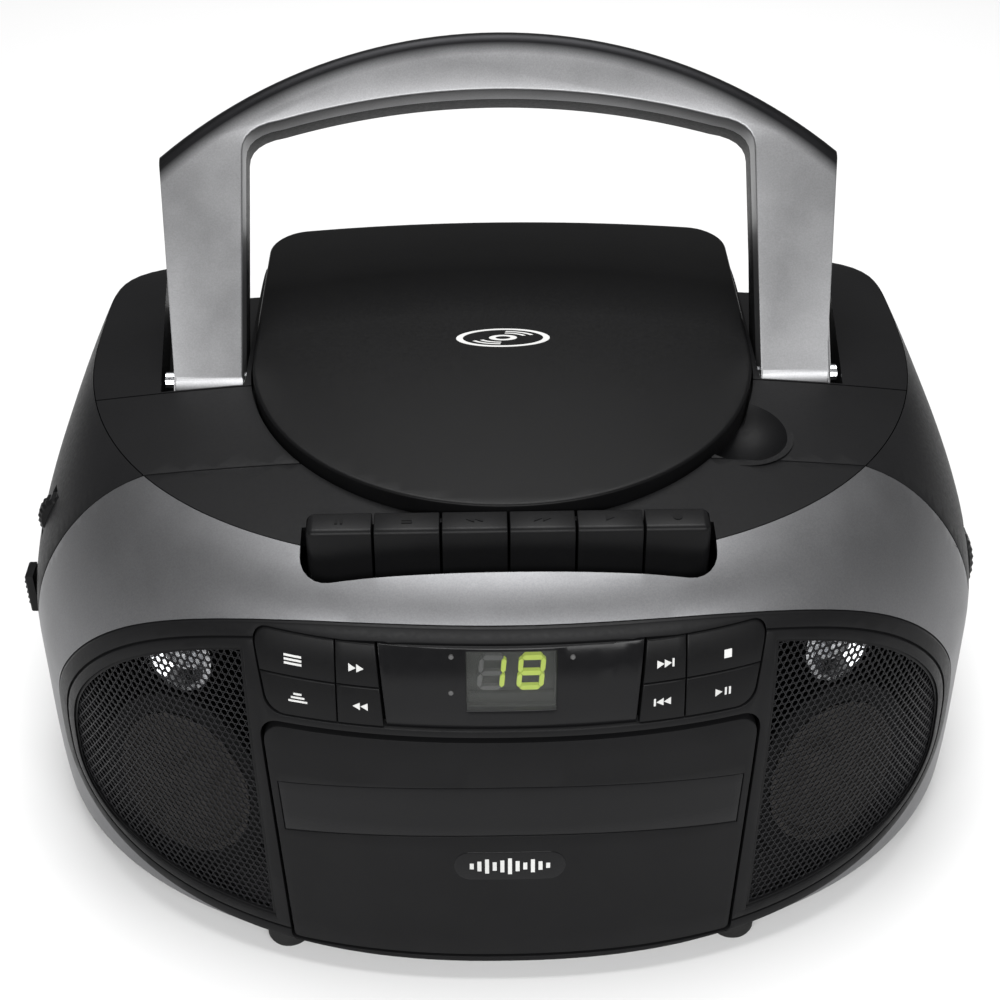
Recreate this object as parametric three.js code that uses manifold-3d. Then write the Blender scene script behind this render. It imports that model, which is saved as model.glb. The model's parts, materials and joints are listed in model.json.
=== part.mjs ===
// A portable CD, cassette and radio player with a swinging carry handle.
// Millimetres, +Z up, front towards -Y, the origin on the table under the middle of the body.
import * as THREE from 'three';
import { mergeVertices } from 'three/addons/utils/BufferGeometryUtils.js';
import Module from 'manifold-3d';

const wasm = await Module();
wasm.setup();

// ---------------------------------------------------------------- driving dimensions
const GAP = 0.3;                     // between pieces that touch
const PLAY = 0.8;                    // around pieces that move

const CABINET_WIDTH = 315;
const FOOT_HEIGHT = 6;
const WIDEST_Z = 66;                 // height of the widest section
const CREASE_Z = 128;                // edge where the sides meet the deck
const FRONT_Y = -114;                // front face at the base
const REAR_Y = 113;
const REAR_TUCK = 4;                 // how far the back draws in at the base
const FRONT_LEAN = 12;               // degrees back from upright
const WALL = 3;
const CREASE_WIDTH = 278;
const CREASE_FRONT_Y = -68;
const DECK_CROWN = 9;
const PART_Y = -22;                  // joint between the front and rear cabinets
const DECK_SEAM_Y = 20;              // joint between the middle and rear deck panels
const BASE_BEND = 95;                // how slowly the sides draw in towards the base
const MIDDLE_Y = { side: 5, crease: 60 };
const FRONT_POWER = { side: 2.2, crease: 2.2 };
const REAR_POWER = { side: 2.8, crease: 6.0 };

const BEZEL = { halfWidth: 146, middleZ: 47, top: 118.5, bottom: 7.2, proud: 0.8, thick: 4 };
const GRILLE = { margin: 6.3, innerTop: 78.5, innerBase: 73, recess: 1, thick: 1.4 };
const DOOR = { topHalf: 73.5, baseHalf: 67.8, top: 85.2, base: 9.6, corner: 6, thick: 3.4, lift: 1.8 };
const BAND = { top: 66.3, base: 49.3, arch: 3.6, topHalf: 69.8, baseHalf: 68.5, depth: 1.3 };
const PANEL = { top: 113.8, base: 89.4, topHalf: 38.4, baseHalf: 36.4, recess: 0.4, thick: 2.4 };
const WINDOW = { halfWidth: 13, top: 112.6, base: 95 };
const KEYPAD = { outerTop: 75.2, outerBase: 71.2, split: 50.6, rowZ: 101.6, corner: 5, depth: 5 };

const HOLDER = { halfWidth: 54, wall: 2, depth: 17, low: 15, high: 70 };

const LID = { radius: 82.5, middleY: 32, rearY: 110, corner: 13, thick: 2.5, skirtZ: 129.5,
  frontZ: 136, rise: 9, crossCrown: 4, ledge: 6 };
const LID_HINGE = { y: 105, z: 138.5, radius: 3.6, length: 60 };
const DISC = { radius: 60, play: 2, floorZ: 114, wall: 2, flangeZ: 122, flangeThick: 2.4, rim: 8 };
const HUB = { flange: 14, cone: 7.3, post: 3, bore: 16.5 };
const SLED = { width: 16, length: 13, height: 9, travel: 22, start: 22.5 };

const KEYS = ['pause', 'stop_eject', 'rewind', 'fast_forward', 'play', 'record'];
const KEY = { pitch: 19.85, gap: 0.7, rearY: -51.5, frontY: -60.5, top: 135, tall: 25, footY: -62.1 };
const POCKET = { side: 1.6, frontY: -70.5, corner: 9, bridge: 5 };

const HANDLE = { pivotY: 31.5, pivotZ: 127.5, lean: 42, thick: 20, legOuter: 108, legInner: 85.6,
  shoulderX: 113.5, shoulder: 75, top: 117, gripTop: 96, gripSide: 86, gripHalf: 73, pin: 3.3 };
const SLOT = { inner: 84.8, innerRear: 83.2, outer: 112.5, outerRear: 122.5, wall: 1.5, floorZ: 113.5,
  frontY: HANDLE.pivotY - HANDLE.thick / 2 - 0.7, bendY: 100 };

const WHEEL = { radius: 10, thick: 6, proud: 2.2, y: -2, z: 97, bore: 2 };
const DIAL = { radius: 30, thick: 7, proud: 2, y: -4, z: 72, bore: 3 };
const SLIDER = { width: 8, tall: 15, proud: 3.6, travel: 5, slot: 7, stem: 3, y: -4, z: 69 };
const BAND_SWITCH = { y: 52, z: 74 };

const FOOT = { radius: 7, frontX: 70.7, frontY: -95, rearX: 84, rearY: 86 };
const BATTERY = { halfWidth: 80, low: 14, high: 68, depth: 34, wall: 2, thick: 3, lift: 1.2 };
const INLET = { x: -112, z: 34, width: 20, tall: 12, depth: 15, rim: 2.5, sunk: 9 };
const JACK = { x: 112, z: 34, radius: 6, bore: 1.75, depth: 14 };
const ANTENNA = { x: 74, z: 104, tilt: 20, barrel: 4.6, inward: 9, outward: 2.2, radius: 1.8,
  bore: 1.35, rod: 1.05, length: 132, rodLength: 110, knob: 8 };

const SPEAKER = { x: 102, z: 46, radius: 31, depth: 26, magnet: 17, cone: 23, behind: 10 };
const TWEETER = { x: 101, z: 91, radius: 13, depth: 11, dome: 6, behind: 11 };
const TAPE = { reach: 27, halfWidth: 62, low: 14, high: 78, thick: 2, reelSpan: 42.5, reelZ: 44 };
const BOARD = { halfWidth: 92, low: 78, high: 108, y: 52, thick: 1.6 };

// ---------------------------------------------------------------- finishes
const finish = (colour, roughness, metalness = 0, extra = {}) =>
  new THREE.MeshStandardMaterial({ color: colour, roughness, metalness, ...extra });
const FINISH = {
  silver: () => finish(0x55565a, 0.42, 0.55),
  black: () => finish(0x161617, 0.6),
  deck: () => finish(0x1b1b1c, 0.66),
  gloss: () => finish(0x0c0c0e, 0.18),
  mesh: () => finish(0x121213, 0.45, 0.6),
  rubber: () => finish(0x1c1c1c, 0.9),
  steel: () => finish(0xb9bcc0, 0.3, 1),
  smoke: () => finish(0x202224, 0.1, 0, { transparent: true, opacity: 0.5 }),
  cone: () => finish(0x262422, 0.85),
  board: () => finish(0x1f5a35, 0.6),
  lamp: () => finish(0x9ba44f, 0.4),
};

// ---------------------------------------------------------------- solids
const model = new THREE.Group();

function solid(geometry) {
  const bare = geometry.clone();
  bare.deleteAttribute('normal');
  bare.deleteAttribute('uv');
  const merged = mergeVertices(bare, 1e-4);
  const index = merged.index.array;
  const faces = [];
  for (let i = 0; i < index.length; i += 3) {
    const [a, b, c] = [index[i], index[i + 1], index[i + 2]];
    if (a !== b && b !== c && c !== a) faces.push(a, b, c);
  }
  return new wasm.Manifold(new wasm.Mesh({
    numProp: 3,
    vertProperties: new Float32Array(merged.attributes.position.array),
    triVerts: new Uint32Array(faces),
  }));
}

function geometryOf(shape) {
  const { vertProperties, triVerts } = shape.getMesh();
  const geometry = new THREE.BufferGeometry();
  geometry.setAttribute('position', new THREE.BufferAttribute(vertProperties, 3));
  geometry.setIndex(new THREE.BufferAttribute(triVerts, 1));
  return geometry;
}

function piece(name, shape, material, parent = model) {
  const geometry = shape instanceof THREE.BufferGeometry ? shape : geometryOf(shape);
  const mesh = new THREE.Mesh(geometry, material());
  mesh.name = name;
  parent.add(mesh);
  return mesh;
}

const signedPower = (value, power) => Math.sign(value) * Math.abs(value) ** power;
const blend = (pair, t) => pair.side + (pair.crease - pair.side) * t;

function moved(geometry, x, y, z) {
  return geometry.translate(x, y, z);
}

function box(x0, x1, y0, y1, z0, z1) {
  return solid(moved(new THREE.BoxGeometry(x1 - x0, y1 - y0, z1 - z0),
    (x0 + x1) / 2, (y0 + y1) / 2, (z0 + z1) / 2));
}

// a round bar of the given radius from low to high along x, y or z
function bar(axis, radius, low, high, sides = 24) {
  const geometry = new THREE.CylinderGeometry(radius, radius, high - low, sides);
  geometry.translate(0, (low + high) / 2, 0);
  if (axis === 'x') geometry.rotateZ(-Math.PI / 2);
  if (axis === 'z') geometry.rotateX(Math.PI / 2);
  return geometry;
}

// a turned piece about Z from [radius, z] pairs that start and end on the axis or close
function turned(points, sides = 24) {
  const profile = points.map(([r, z]) => new THREE.Vector2(r, z));
  return new THREE.LatheGeometry(profile, sides).rotateX(Math.PI / 2);
}

// an outline with each [u, v, radius] corner rounded
function outline(corners) {
  const shape = new THREE.Shape();
  corners.forEach(([u, v, radius = 0], i) => {
    const here = new THREE.Vector2(u, v);
    const before = corners[(i + corners.length - 1) % corners.length];
    const after = corners[(i + 1) % corners.length];
    const towards = (other) => new THREE.Vector2(other[0], other[1]).sub(here).setLength(radius).add(here);
    const start = radius ? towards(before) : here;
    if (i === 0) shape.moveTo(start.x, start.y);
    else shape.lineTo(start.x, start.y);
    if (radius) {
      const end = towards(after);
      shape.quadraticCurveTo(u, v, end.x, end.y);
    }
  });
  shape.closePath();
  return shape;
}

const mirrored = (corners) => corners.map(([u, v, radius]) => [-u, v, radius]).reverse();

// an outline in X and Y, standing up from z0 to z1
function column(shape, z0, z1, curveSegments = 8) {
  const geometry = new THREE.ExtrudeGeometry(shape, { depth: z1 - z0, bevelEnabled: false, curveSegments });
  return solid(moved(geometry, 0, 0, z0));
}

// an outline in X and Z, running through from y0 to y1
function through(shape, y0 = -140, y1 = -20, curveSegments = 8) {
  const geometry = new THREE.ExtrudeGeometry(shape, { depth: y1 - y0, bevelEnabled: false, curveSegments });
  return solid(moved(geometry.rotateX(Math.PI / 2), 0, y1, 0));
}

// ---------------------------------------------------------------- the body's surface
const halfCabinet = CABINET_WIDTH / 2;
const lean = THREE.MathUtils.degToRad(FRONT_LEAN);
const planeY = (z) => FRONT_Y + (z - FOOT_HEIGHT) * Math.tan(lean);

// the level section at height z: half width, front, back, middle line and the two powers
function section(z) {
  const up = Math.max(0, (z - WIDEST_Z) / (CREASE_Z - WIDEST_Z));
  const down = Math.max(0, (WIDEST_Z - z) / (WIDEST_Z - FOOT_HEIGHT));
  const below = halfCabinet * (1 - ((WIDEST_Z - z) / BASE_BEND) ** 6) ** (1 / 6);
  const above = halfCabinet - (halfCabinet - CREASE_WIDTH / 2) * up ** 2;
  return {
    half: z < WIDEST_Z ? below : above,
    front: planeY(z) + (CREASE_FRONT_Y - planeY(CREASE_Z)) * up ** 8,
    back: REAR_Y - REAR_TUCK * down ** 3,
    middle: blend(MIDDLE_Y, up ** 2),
    frontPower: blend(FRONT_POWER, up ** 2),
    rearPower: blend(REAR_POWER, up ** 2),
  };
}

// the point on a section at an angle round it, scaled about its middle and drawn in by a wall
function onSection(z, angle, scale = 1, inset = 0) {
  const s = section(z);
  const forward = Math.sin(angle) < 0;
  const power = 2 / (forward ? s.frontPower : s.rearPower);
  const reach = (forward ? s.middle - s.front : s.back - s.middle) - inset;
  return [
    scale * (s.half - inset) * signedPower(Math.cos(angle), power),
    s.middle + scale * reach * signedPower(Math.sin(angle), power),
  ];
}

// the front face's y at (x, z)
function skin(x, z) {
  const s = section(z);
  const across = Math.min(1, Math.abs(x) / s.half);
  return s.middle + (s.front - s.middle) * (1 - across ** s.frontPower) ** (1 / s.frontPower);
}

// rings of the body's form as [scale about the middle, rise above the base]
const RINGS = [[0, 0], [0.965, 0], [0.99, 2], [1, 5], [1, 30], [1, 60], [1, 82], [1, 98],
  [1, 108], [1, 115], [1, 119], [1, 122]];
const INNER_RINGS = [[0, 0], [0.97, 0], [1, 6], [1, 60], [1, 90], [1, 108], [1, 118], [1, 122]];
const DECK_RINGS = [0.8, 0.5, 0];
const ROUND = 44;                    // sides of the body's sections

// the body's outer form as one closed solid, drawn in by inset
function pebble(inset = 0, rings = RINGS) {
  const low = FOOT_HEIGHT + inset;
  const high = CREASE_Z - inset;
  const full = CREASE_Z - FOOT_HEIGHT;
  const profile = rings.map(([scale, rise]) => [scale, low + (rise / full) * (high - low)]);
  for (const scale of DECK_RINGS) profile.push([scale, high + DECK_CROWN * (1 - scale ** 2)]);
  const geometry = new THREE.LatheGeometry(profile.map(([r, z]) => new THREE.Vector2(r, z)), ROUND);
  geometry.rotateX(Math.PI / 2);
  const place = geometry.attributes.position;
  for (let i = 0; i < place.count; i += 1) {
    const [px, py, z] = [place.getX(i), place.getY(i), place.getZ(i)];
    const [x, y] = onSection(Math.min(z, high), Math.atan2(py, px), Math.hypot(px, py), inset);
    place.setXYZ(i, x, y, z);
  }
  return solid(geometry);
}

// a slab that follows the front face, from `from` behind it to `to` behind it
function frontSlab(from, to, low = 5, high = 121, half = 150, columns = 22, rows = 6) {
  const geometry = new THREE.BoxGeometry(2, 1, 2, columns, 1, rows);
  const place = geometry.attributes.position;
  for (let i = 0; i < place.count; i += 1) {
    const x = half * Math.sin(place.getX(i) * Math.PI / 2);
    const z = low + (high - low) * (place.getZ(i) + 1) / 2;
    place.setXYZ(i, x, skin(x, z) + (place.getY(i) < 0 ? from : to), z);
  }
  return solid(geometry);
}

// the lid's top surface
function lidTop(x, y) {
  const front = LID.middleY - LID.radius;
  const along = Math.min(1, Math.max(0, (y - front) / (LID.rearY - front)));
  const across = Math.min(1, Math.abs(x) / LID.radius);
  return LID.frontZ + LID.rise * Math.sin(along * Math.PI / 2) - LID.crossCrown * across ** 2;
}

// a slab that follows the lid's top surface, from `from` below it to `to` below it
function lidSlab(from, to) {
  const front = LID.middleY - LID.radius - 2;
  const geometry = new THREE.BoxGeometry(2, 2, 1, 8, 8, 1);
  const place = geometry.attributes.position;
  for (let i = 0; i < place.count; i += 1) {
    const x = place.getX(i) * (LID.radius + 2);
    const y = front + (LID.rearY + 2 - front) * (place.getY(i) + 1) / 2;
    place.setXYZ(i, x, y, lidTop(x, y) - (place.getZ(i) > 0 ? from : to));
  }
  return solid(geometry);
}

// ---------------------------------------------------------------- shared outlines
function creaseOutline(inset) {
  const shape = new THREE.Shape();
  for (let i = 0; i < ROUND; i += 1) {
    const [x, y] = onSection(CREASE_Z, (i / ROUND) * 2 * Math.PI - Math.PI, 1, inset);
    if (i === 0) shape.moveTo(x, y);
    else shape.lineTo(x, y);
  }
  shape.closePath();
  return shape;
}

// the speaker and control bezel's border: broad corners above, squarer ones below
function bezelPoint(angle, inset) {
  const above = Math.sin(angle) > 0;
  const a = BEZEL.halfWidth - inset;
  const h = (above ? BEZEL.top - BEZEL.middleZ : BEZEL.middleZ - BEZEL.bottom) - inset;
  return [
    a * signedPower(Math.cos(angle), 2 / 3),
    BEZEL.middleZ + h * signedPower(Math.sin(angle), above ? 2 / 2.1 : 2 / 3.4),
  ];
}

function bezelOutline(inset, count = 44) {
  const shape = new THREE.Shape();
  for (let i = 0; i < count; i += 1) {
    const [x, z] = bezelPoint((i / count) * 2 * Math.PI, inset);
    if (i === 0) shape.moveTo(x, z);
    else shape.lineTo(x, z);
  }
  shape.closePath();
  return shape;
}

function lidOutline(grow) {
  const r = LID.radius + grow;
  const rear = LID.rearY + grow;
  const c = LID.corner;
  const shape = new THREE.Shape();
  shape.moveTo(r, LID.middleY);
  shape.lineTo(r, rear - c);
  shape.quadraticCurveTo(r, rear, r - c, rear);
  shape.lineTo(c - r, rear);
  shape.quadraticCurveTo(-r, rear, -r, rear - c);
  shape.lineTo(-r, LID.middleY);
  shape.absarc(0, LID.middleY, r, Math.PI, 2 * Math.PI, false);
  return shape;
}

// the cassette door, or its opening, which leaves room above for the corners that rise as it tips
const doorOutline = (grow, lift) => outline([
  [-DOOR.topHalf - grow, DOOR.top + lift, DOOR.corner],
  [-DOOR.baseHalf - grow, DOOR.base - grow, 1.5],
  [DOOR.baseHalf + grow, DOOR.base - grow, 1.5],
  [DOOR.topHalf + grow, DOOR.top + lift, DOOR.corner]]);

function bandOutline(grow) {
  const shape = new THREE.Shape();
  const lift = 2 * BAND.arch;
  shape.moveTo(-BAND.baseHalf - grow, BAND.base - grow);
  shape.quadraticCurveTo(0, BAND.base - grow + lift, BAND.baseHalf + grow, BAND.base - grow);
  shape.lineTo(BAND.topHalf + grow, BAND.top + grow);
  shape.quadraticCurveTo(0, BAND.top + grow + lift, -BAND.topHalf - grow, BAND.top + grow);
  return shape;
}

const panelOutline = (grow) => outline([
  [-PANEL.topHalf - grow, PANEL.top + grow], [-PANEL.baseHalf - grow, PANEL.base - grow],
  [PANEL.baseHalf + grow, PANEL.base - grow], [PANEL.topHalf + grow, PANEL.top + grow]]);

const windowOutline = (grow) => outline([
  [-WINDOW.halfWidth - grow, WINDOW.top + grow], [-WINDOW.halfWidth - grow, WINDOW.base - grow],
  [WINDOW.halfWidth + grow, WINDOW.base - grow], [WINDOW.halfWidth + grow, WINDOW.top + grow]]);

// the left speaker opening: the bezel's border drawn in, cut off by its inner edge
function grilleCut(grow) {
  const side = outline([
    [-GRILLE.innerTop + grow, BEZEL.top], [-BEZEL.halfWidth - 5, BEZEL.top],
    [-BEZEL.halfWidth - 5, BEZEL.bottom], [-GRILLE.innerBase + grow, BEZEL.bottom]]);
  return through(bezelOutline(GRILLE.margin - grow)).intersect(through(side));
}

// ---------------------------------------------------------------- casings
const outer = pebble();
const shell = outer.subtract(pebble(WALL, INNER_RINGS));
const deckColumn = column(creaseOutline(GAP / 2), CREASE_Z - WALL - 1 + GAP, 160);
const creaseHole = column(creaseOutline(-GAP / 2), CREASE_Z - WALL - 1, 160);
const lidHole = column(lidOutline(PLAY), 100, 160, 8);

function keyPocket() {
  const half = 3 * KEY.pitch + POCKET.side;
  const rear = KEY.rearY + PLAY;
  return column(outline([[-half, rear], [-half, POCKET.frontY, POCKET.corner],
    [half, POCKET.frontY, POCKET.corner], [half, rear]]), KEY.top - KEY.tall - 8, 160);
}

function cabinets() {
  const rim = bezelOutline(-GAP);
  const half = halfCabinet;
  const front = shell.intersect(box(-200, 200, -200, PART_Y - GAP / 2, 0, 200))
    .subtract(creaseHole)
    .subtract(through(rim, -140, skin(BEZEL.halfWidth, BEZEL.middleZ) + 12))
    .subtract(keyPocket())
    .subtract(wheelSlot(-1, WHEEL))
    .subtract(wheelSlot(1, DIAL))
    .subtract(sliderSlot(-half, SLIDER.y, SLIDER.z));
  const rear = shell.intersect(box(-200, 200, PART_Y + GAP / 2, 200, 0, 200))
    .subtract(creaseHole)
    .subtract(lidHole)
    .subtract(handleNotch(-1))
    .subtract(handleNotch(1))
    .subtract(box(-BATTERY.halfWidth - GAP, BATTERY.halfWidth + GAP, 80, 130,
      BATTERY.low - GAP, BATTERY.high + BATTERY.lift))
    .subtract(inletShape(GAP))
    .subtract(jackShape(GAP))
    .subtract(antennaSeat())
    .subtract(wheelSlot(-1, WHEEL))
    .subtract(wheelSlot(1, DIAL))
    .subtract(sliderSlot(-half, SLIDER.y, SLIDER.z))
    .subtract(sliderSlot(half, BAND_SWITCH.y, BAND_SWITCH.z));
  piece('front_cabinet', front, FINISH.silver);
  piece('rear_cabinet', rear, FINISH.black);
}

// the slot a handle leg lies in when it folds back: it opens out towards the rear
function slotOutline(side, grow) {
  const { inner, innerRear, outer, outerRear, frontY, bendY } = SLOT;
  const corners = [[inner - grow, frontY - grow], [outer + grow, frontY - grow],
    [outerRear + grow, REAR_Y], [outerRear + grow, 2 * REAR_Y], [innerRear - grow, 2 * REAR_Y],
    [innerRear - grow, REAR_Y], [inner - grow, bendY]];
  return outline(side > 0 ? corners : mirrored(corners));
}

function handleNotch(side) {
  return column(slotOutline(side, SLOT.wall + GAP), SLOT.floorZ - SLOT.wall - GAP, 160);
}

function wheelSlot(side, wheel) {
  const reach = wheel.thick / 2 + PLAY;
  const hole = bar('y', wheel.radius + PLAY, wheel.y - reach, wheel.y + reach, 40);
  return solid(moved(hole, side * (edgeX(wheel.y, wheel.z) + wheel.proud - wheel.radius), 0, wheel.z));
}

function sliderSlot(sideX, y, z) {
  const toward = Math.sign(sideX);
  const inner = sideX - toward * 25;
  const reach = SLIDER.travel + SLIDER.slot / 2 + PLAY;
  return box(Math.min(inner, sideX + toward * 10), Math.max(inner, sideX + toward * 10),
    y - SLIDER.stem / 2 - PLAY, y + SLIDER.stem / 2 + PLAY, z - reach, z + reach);
}

function deckPanels() {
  const deck = shell.intersect(deckColumn).subtract(lidHole);
  const pocketRear = KEY.rearY + PLAY;
  const half = 3 * KEY.pitch + POCKET.side + 8;
  const bridge = box(-half, half, pocketRear, pocketRear + POCKET.bridge, DISC.flangeZ, CREASE_Z)
    .intersect(column(creaseOutline(GAP / 2 + WALL), 100, 160));
  const front = deck.intersect(box(-200, 200, -200, PART_Y - GAP / 2, 0, 200))
    .subtract(keyPocket()).add(bridge);
  piece('front_deck', front, FINISH.deck);
  piece('rear_deck', rearDeck(deck), FINISH.deck);
}

// the ledge inside the lid's opening, which ties the two sides of the rear deck together
function lidLedge() {
  const { flangeZ, flangeThick } = DISC;
  return column(lidOutline(PLAY + 2), flangeZ + flangeThick + GAP, flangeZ + 2 * flangeThick + GAP)
    .subtract(column(lidOutline(-LID.ledge), 0, 200));
}

function rearDeck(deck) {
  const behind = box(-200, 200, PART_Y + GAP / 2, 200, 0, 200);
  const seam = box(-200, 200, DECK_SEAM_Y - GAP, DECK_SEAM_Y + GAP, CREASE_Z - 0.6, 200)
    .subtract(pebble(0.7));
  let panel = deck.intersect(behind).add(lidLedge().intersect(behind)).subtract(seam);
  const inside = pebble(GAP);
  for (const side of [-1, 1]) {
    const trough = column(slotOutline(side, SLOT.wall), SLOT.floorZ - SLOT.wall, 160);
    const hollow = column(slotOutline(side, 0), SLOT.floorZ, 170);
    panel = panel.add(trough.intersect(inside)).subtract(hollow);
  }
  return panel;
}

// ---------------------------------------------------------------- front
function frontPieces() {
  const padCorners = (grow) => [
    [-KEYPAD.outerTop - grow, PANEL.top - 0.5 + grow, KEYPAD.corner],
    [-KEYPAD.outerBase - grow, PANEL.base - grow, KEYPAD.corner],
    [-PANEL.baseHalf, PANEL.base - grow], [-PANEL.topHalf, PANEL.top + grow]];
  let bezel = through(bezelOutline(0)).intersect(frontSlab(-BEZEL.proud, BEZEL.thick - BEZEL.proud));
  bezel = bezel.subtract(through(doorOutline(PLAY, DOOR.lift))).subtract(through(panelOutline(GAP)));
  const grille = grilleCut(0);
  bezel = bezel.subtract(grille).subtract(grille.mirror([1, 0, 0]));
  for (const corners of [padCorners(GAP), mirrored(padCorners(GAP))]) {
    bezel = bezel.subtract(through(outline(corners)));
  }
  piece('front_bezel', bezel, FINISH.black);

  const plate = grilleCut(-GAP).intersect(frontSlab(GRILLE.recess, GRILLE.recess + GRILLE.thick, 5, 121, 150, 16, 4));
  piece('left_grille', plate, FINISH.mesh);
  piece('right_grille', plate.mirror([1, 0, 0]), FINISH.mesh);

  const keySlab = frontSlab(-BEZEL.proud + 0.2, KEYPAD.depth, 85, 120, 80, 12, 2);
  const half = GAP / 2;
  const wide = (top) => (top
    ? [[-90, 130], [-90, KEYPAD.rowZ + half], [-KEYPAD.split - half, KEYPAD.rowZ + half], [-KEYPAD.split - half, 130]]
    : [[-90, KEYPAD.rowZ - half], [-90, 70], [-KEYPAD.split - half, 70], [-KEYPAD.split - half, KEYPAD.rowZ - half]]);
  const narrow = (top) => (top
    ? [[-KEYPAD.split + half, 130], [-KEYPAD.split + half, KEYPAD.rowZ + half], [0, KEYPAD.rowZ + half], [0, 130]]
    : [[-KEYPAD.split + half, KEYPAD.rowZ - half], [-KEYPAD.split + half, 70], [0, 70], [0, KEYPAD.rowZ - half]]);
  const pad = through(outline(padCorners(0))).subtract(through(panelOutline(2 * GAP)));
  const cells = [
    [wide(true), 'program_button', 'stop_button'], [wide(false), 'repeat_button', 'play_pause_button'],
    [narrow(true), 'folder_up_button', 'skip_next_button'],
    [narrow(false), 'folder_down_button', 'skip_back_button']];
  for (const [cell, leftName, rightName] of cells) {
    const button = pad.intersect(through(outline(cell))).intersect(keySlab);
    piece(leftName, button, FINISH.black);
    piece(rightName, button.mirror([1, 0, 0]), FINISH.black);
  }

  const panelSlab = frontSlab(PANEL.recess - BEZEL.proud, PANEL.recess - BEZEL.proud + PANEL.thick, 85, 120, 45, 6, 2);
  piece('display_panel', through(panelOutline(0)).intersect(panelSlab)
    .subtract(through(windowOutline(GAP))), FINISH.gloss);
  const paneSlab = frontSlab(PANEL.recess - 0.3, PANEL.recess + 1.2, 85, 120, 45, 6, 2);
  piece('display_window', through(windowOutline(0)).intersect(paneSlab), FINISH.smoke);
  const digits = new THREE.Group();
  digits.position.set(0, planeY(0.5 * (WINDOW.top + WINDOW.base)) + 9, 0.5 * (WINDOW.top + WINDOW.base));
  digits.rotation.x = -lean;
  model.add(digits);
  piece('digit_display', new THREE.BoxGeometry(25, 5, 15), FINISH.lamp, digits);
}

function cassetteDoor() {
  const face = through(doorOutline(0, 0)).intersect(frontSlab(-BEZEL.proud + 0.2, DOOR.thick, 5, 92, 80, 12, 3));
  const recess = through(bandOutline(GAP)).intersect(frontSlab(-4, BAND.depth, 40, 80, 80, 12, 1));
  let door = face.subtract(recess);
  const { halfWidth, wall, depth, low, high } = HOLDER;
  const back = (z, reach) => planeY(z) + reach;
  const behindFace = frontSlab(1.5, 60, 5, 92, 80, 12, 3);
  const side = outline([[back(low, 0), low], [back(high, 0), high],
    [back(high, DOOR.thick + depth), high], [back(low, DOOR.thick + depth), low]]);
  const cheek = new THREE.ExtrudeGeometry(side, { depth: wall, bevelEnabled: false });
  cheek.rotateX(Math.PI / 2).rotateZ(Math.PI / 2);
  for (const x of [-halfWidth - wall, halfWidth]) {
    door = door.add(solid(moved(cheek.clone(), x, 0, 0)).intersect(behindFace));
  }
  const shelfShape = outline([[back(low, 0), low], [back(low + wall, 0), low + wall],
    [back(low + wall, depth), low + wall], [back(low, depth), low]]);
  const shelf = new THREE.ExtrudeGeometry(shelfShape, { depth: 2 * halfWidth + 2 * wall, bevelEnabled: false });
  shelf.rotateX(Math.PI / 2).rotateZ(Math.PI / 2);
  door = door.add(solid(moved(shelf, -halfWidth - wall, 0, 0)).intersect(behindFace));
  piece('cassette_door', door, FINISH.black);
  const strip = through(bandOutline(0)).intersect(frontSlab(GAP, BAND.depth - GAP, 40, 80, 80, 12, 1));
  piece('cassette_window', strip, FINISH.gloss);
}

function cassetteKeys() {
  KEYS.forEach((name, i) => {
    const x = (i - (KEYS.length - 1) / 2) * KEY.pitch;
    const half = (KEY.pitch - KEY.gap) / 2;
    const profile = outline([
      [KEY.rearY, KEY.top, 1], [KEY.rearY, KEY.top - KEY.tall], [KEY.footY, KEY.top - KEY.tall],
      [KEY.footY, KEY.top - 14, 3], [KEY.frontY, KEY.top - 0.4, 1.6]]);
    const cap = new THREE.ExtrudeGeometry(profile, { depth: 2 * half, bevelEnabled: false, curveSegments: 4 });
    cap.rotateX(Math.PI / 2).rotateZ(Math.PI / 2);
    cap.translate(-half, 0, 0);
    piece(`${name}_key`, cap, FINISH.black).position.x = x;
  });
}

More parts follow.
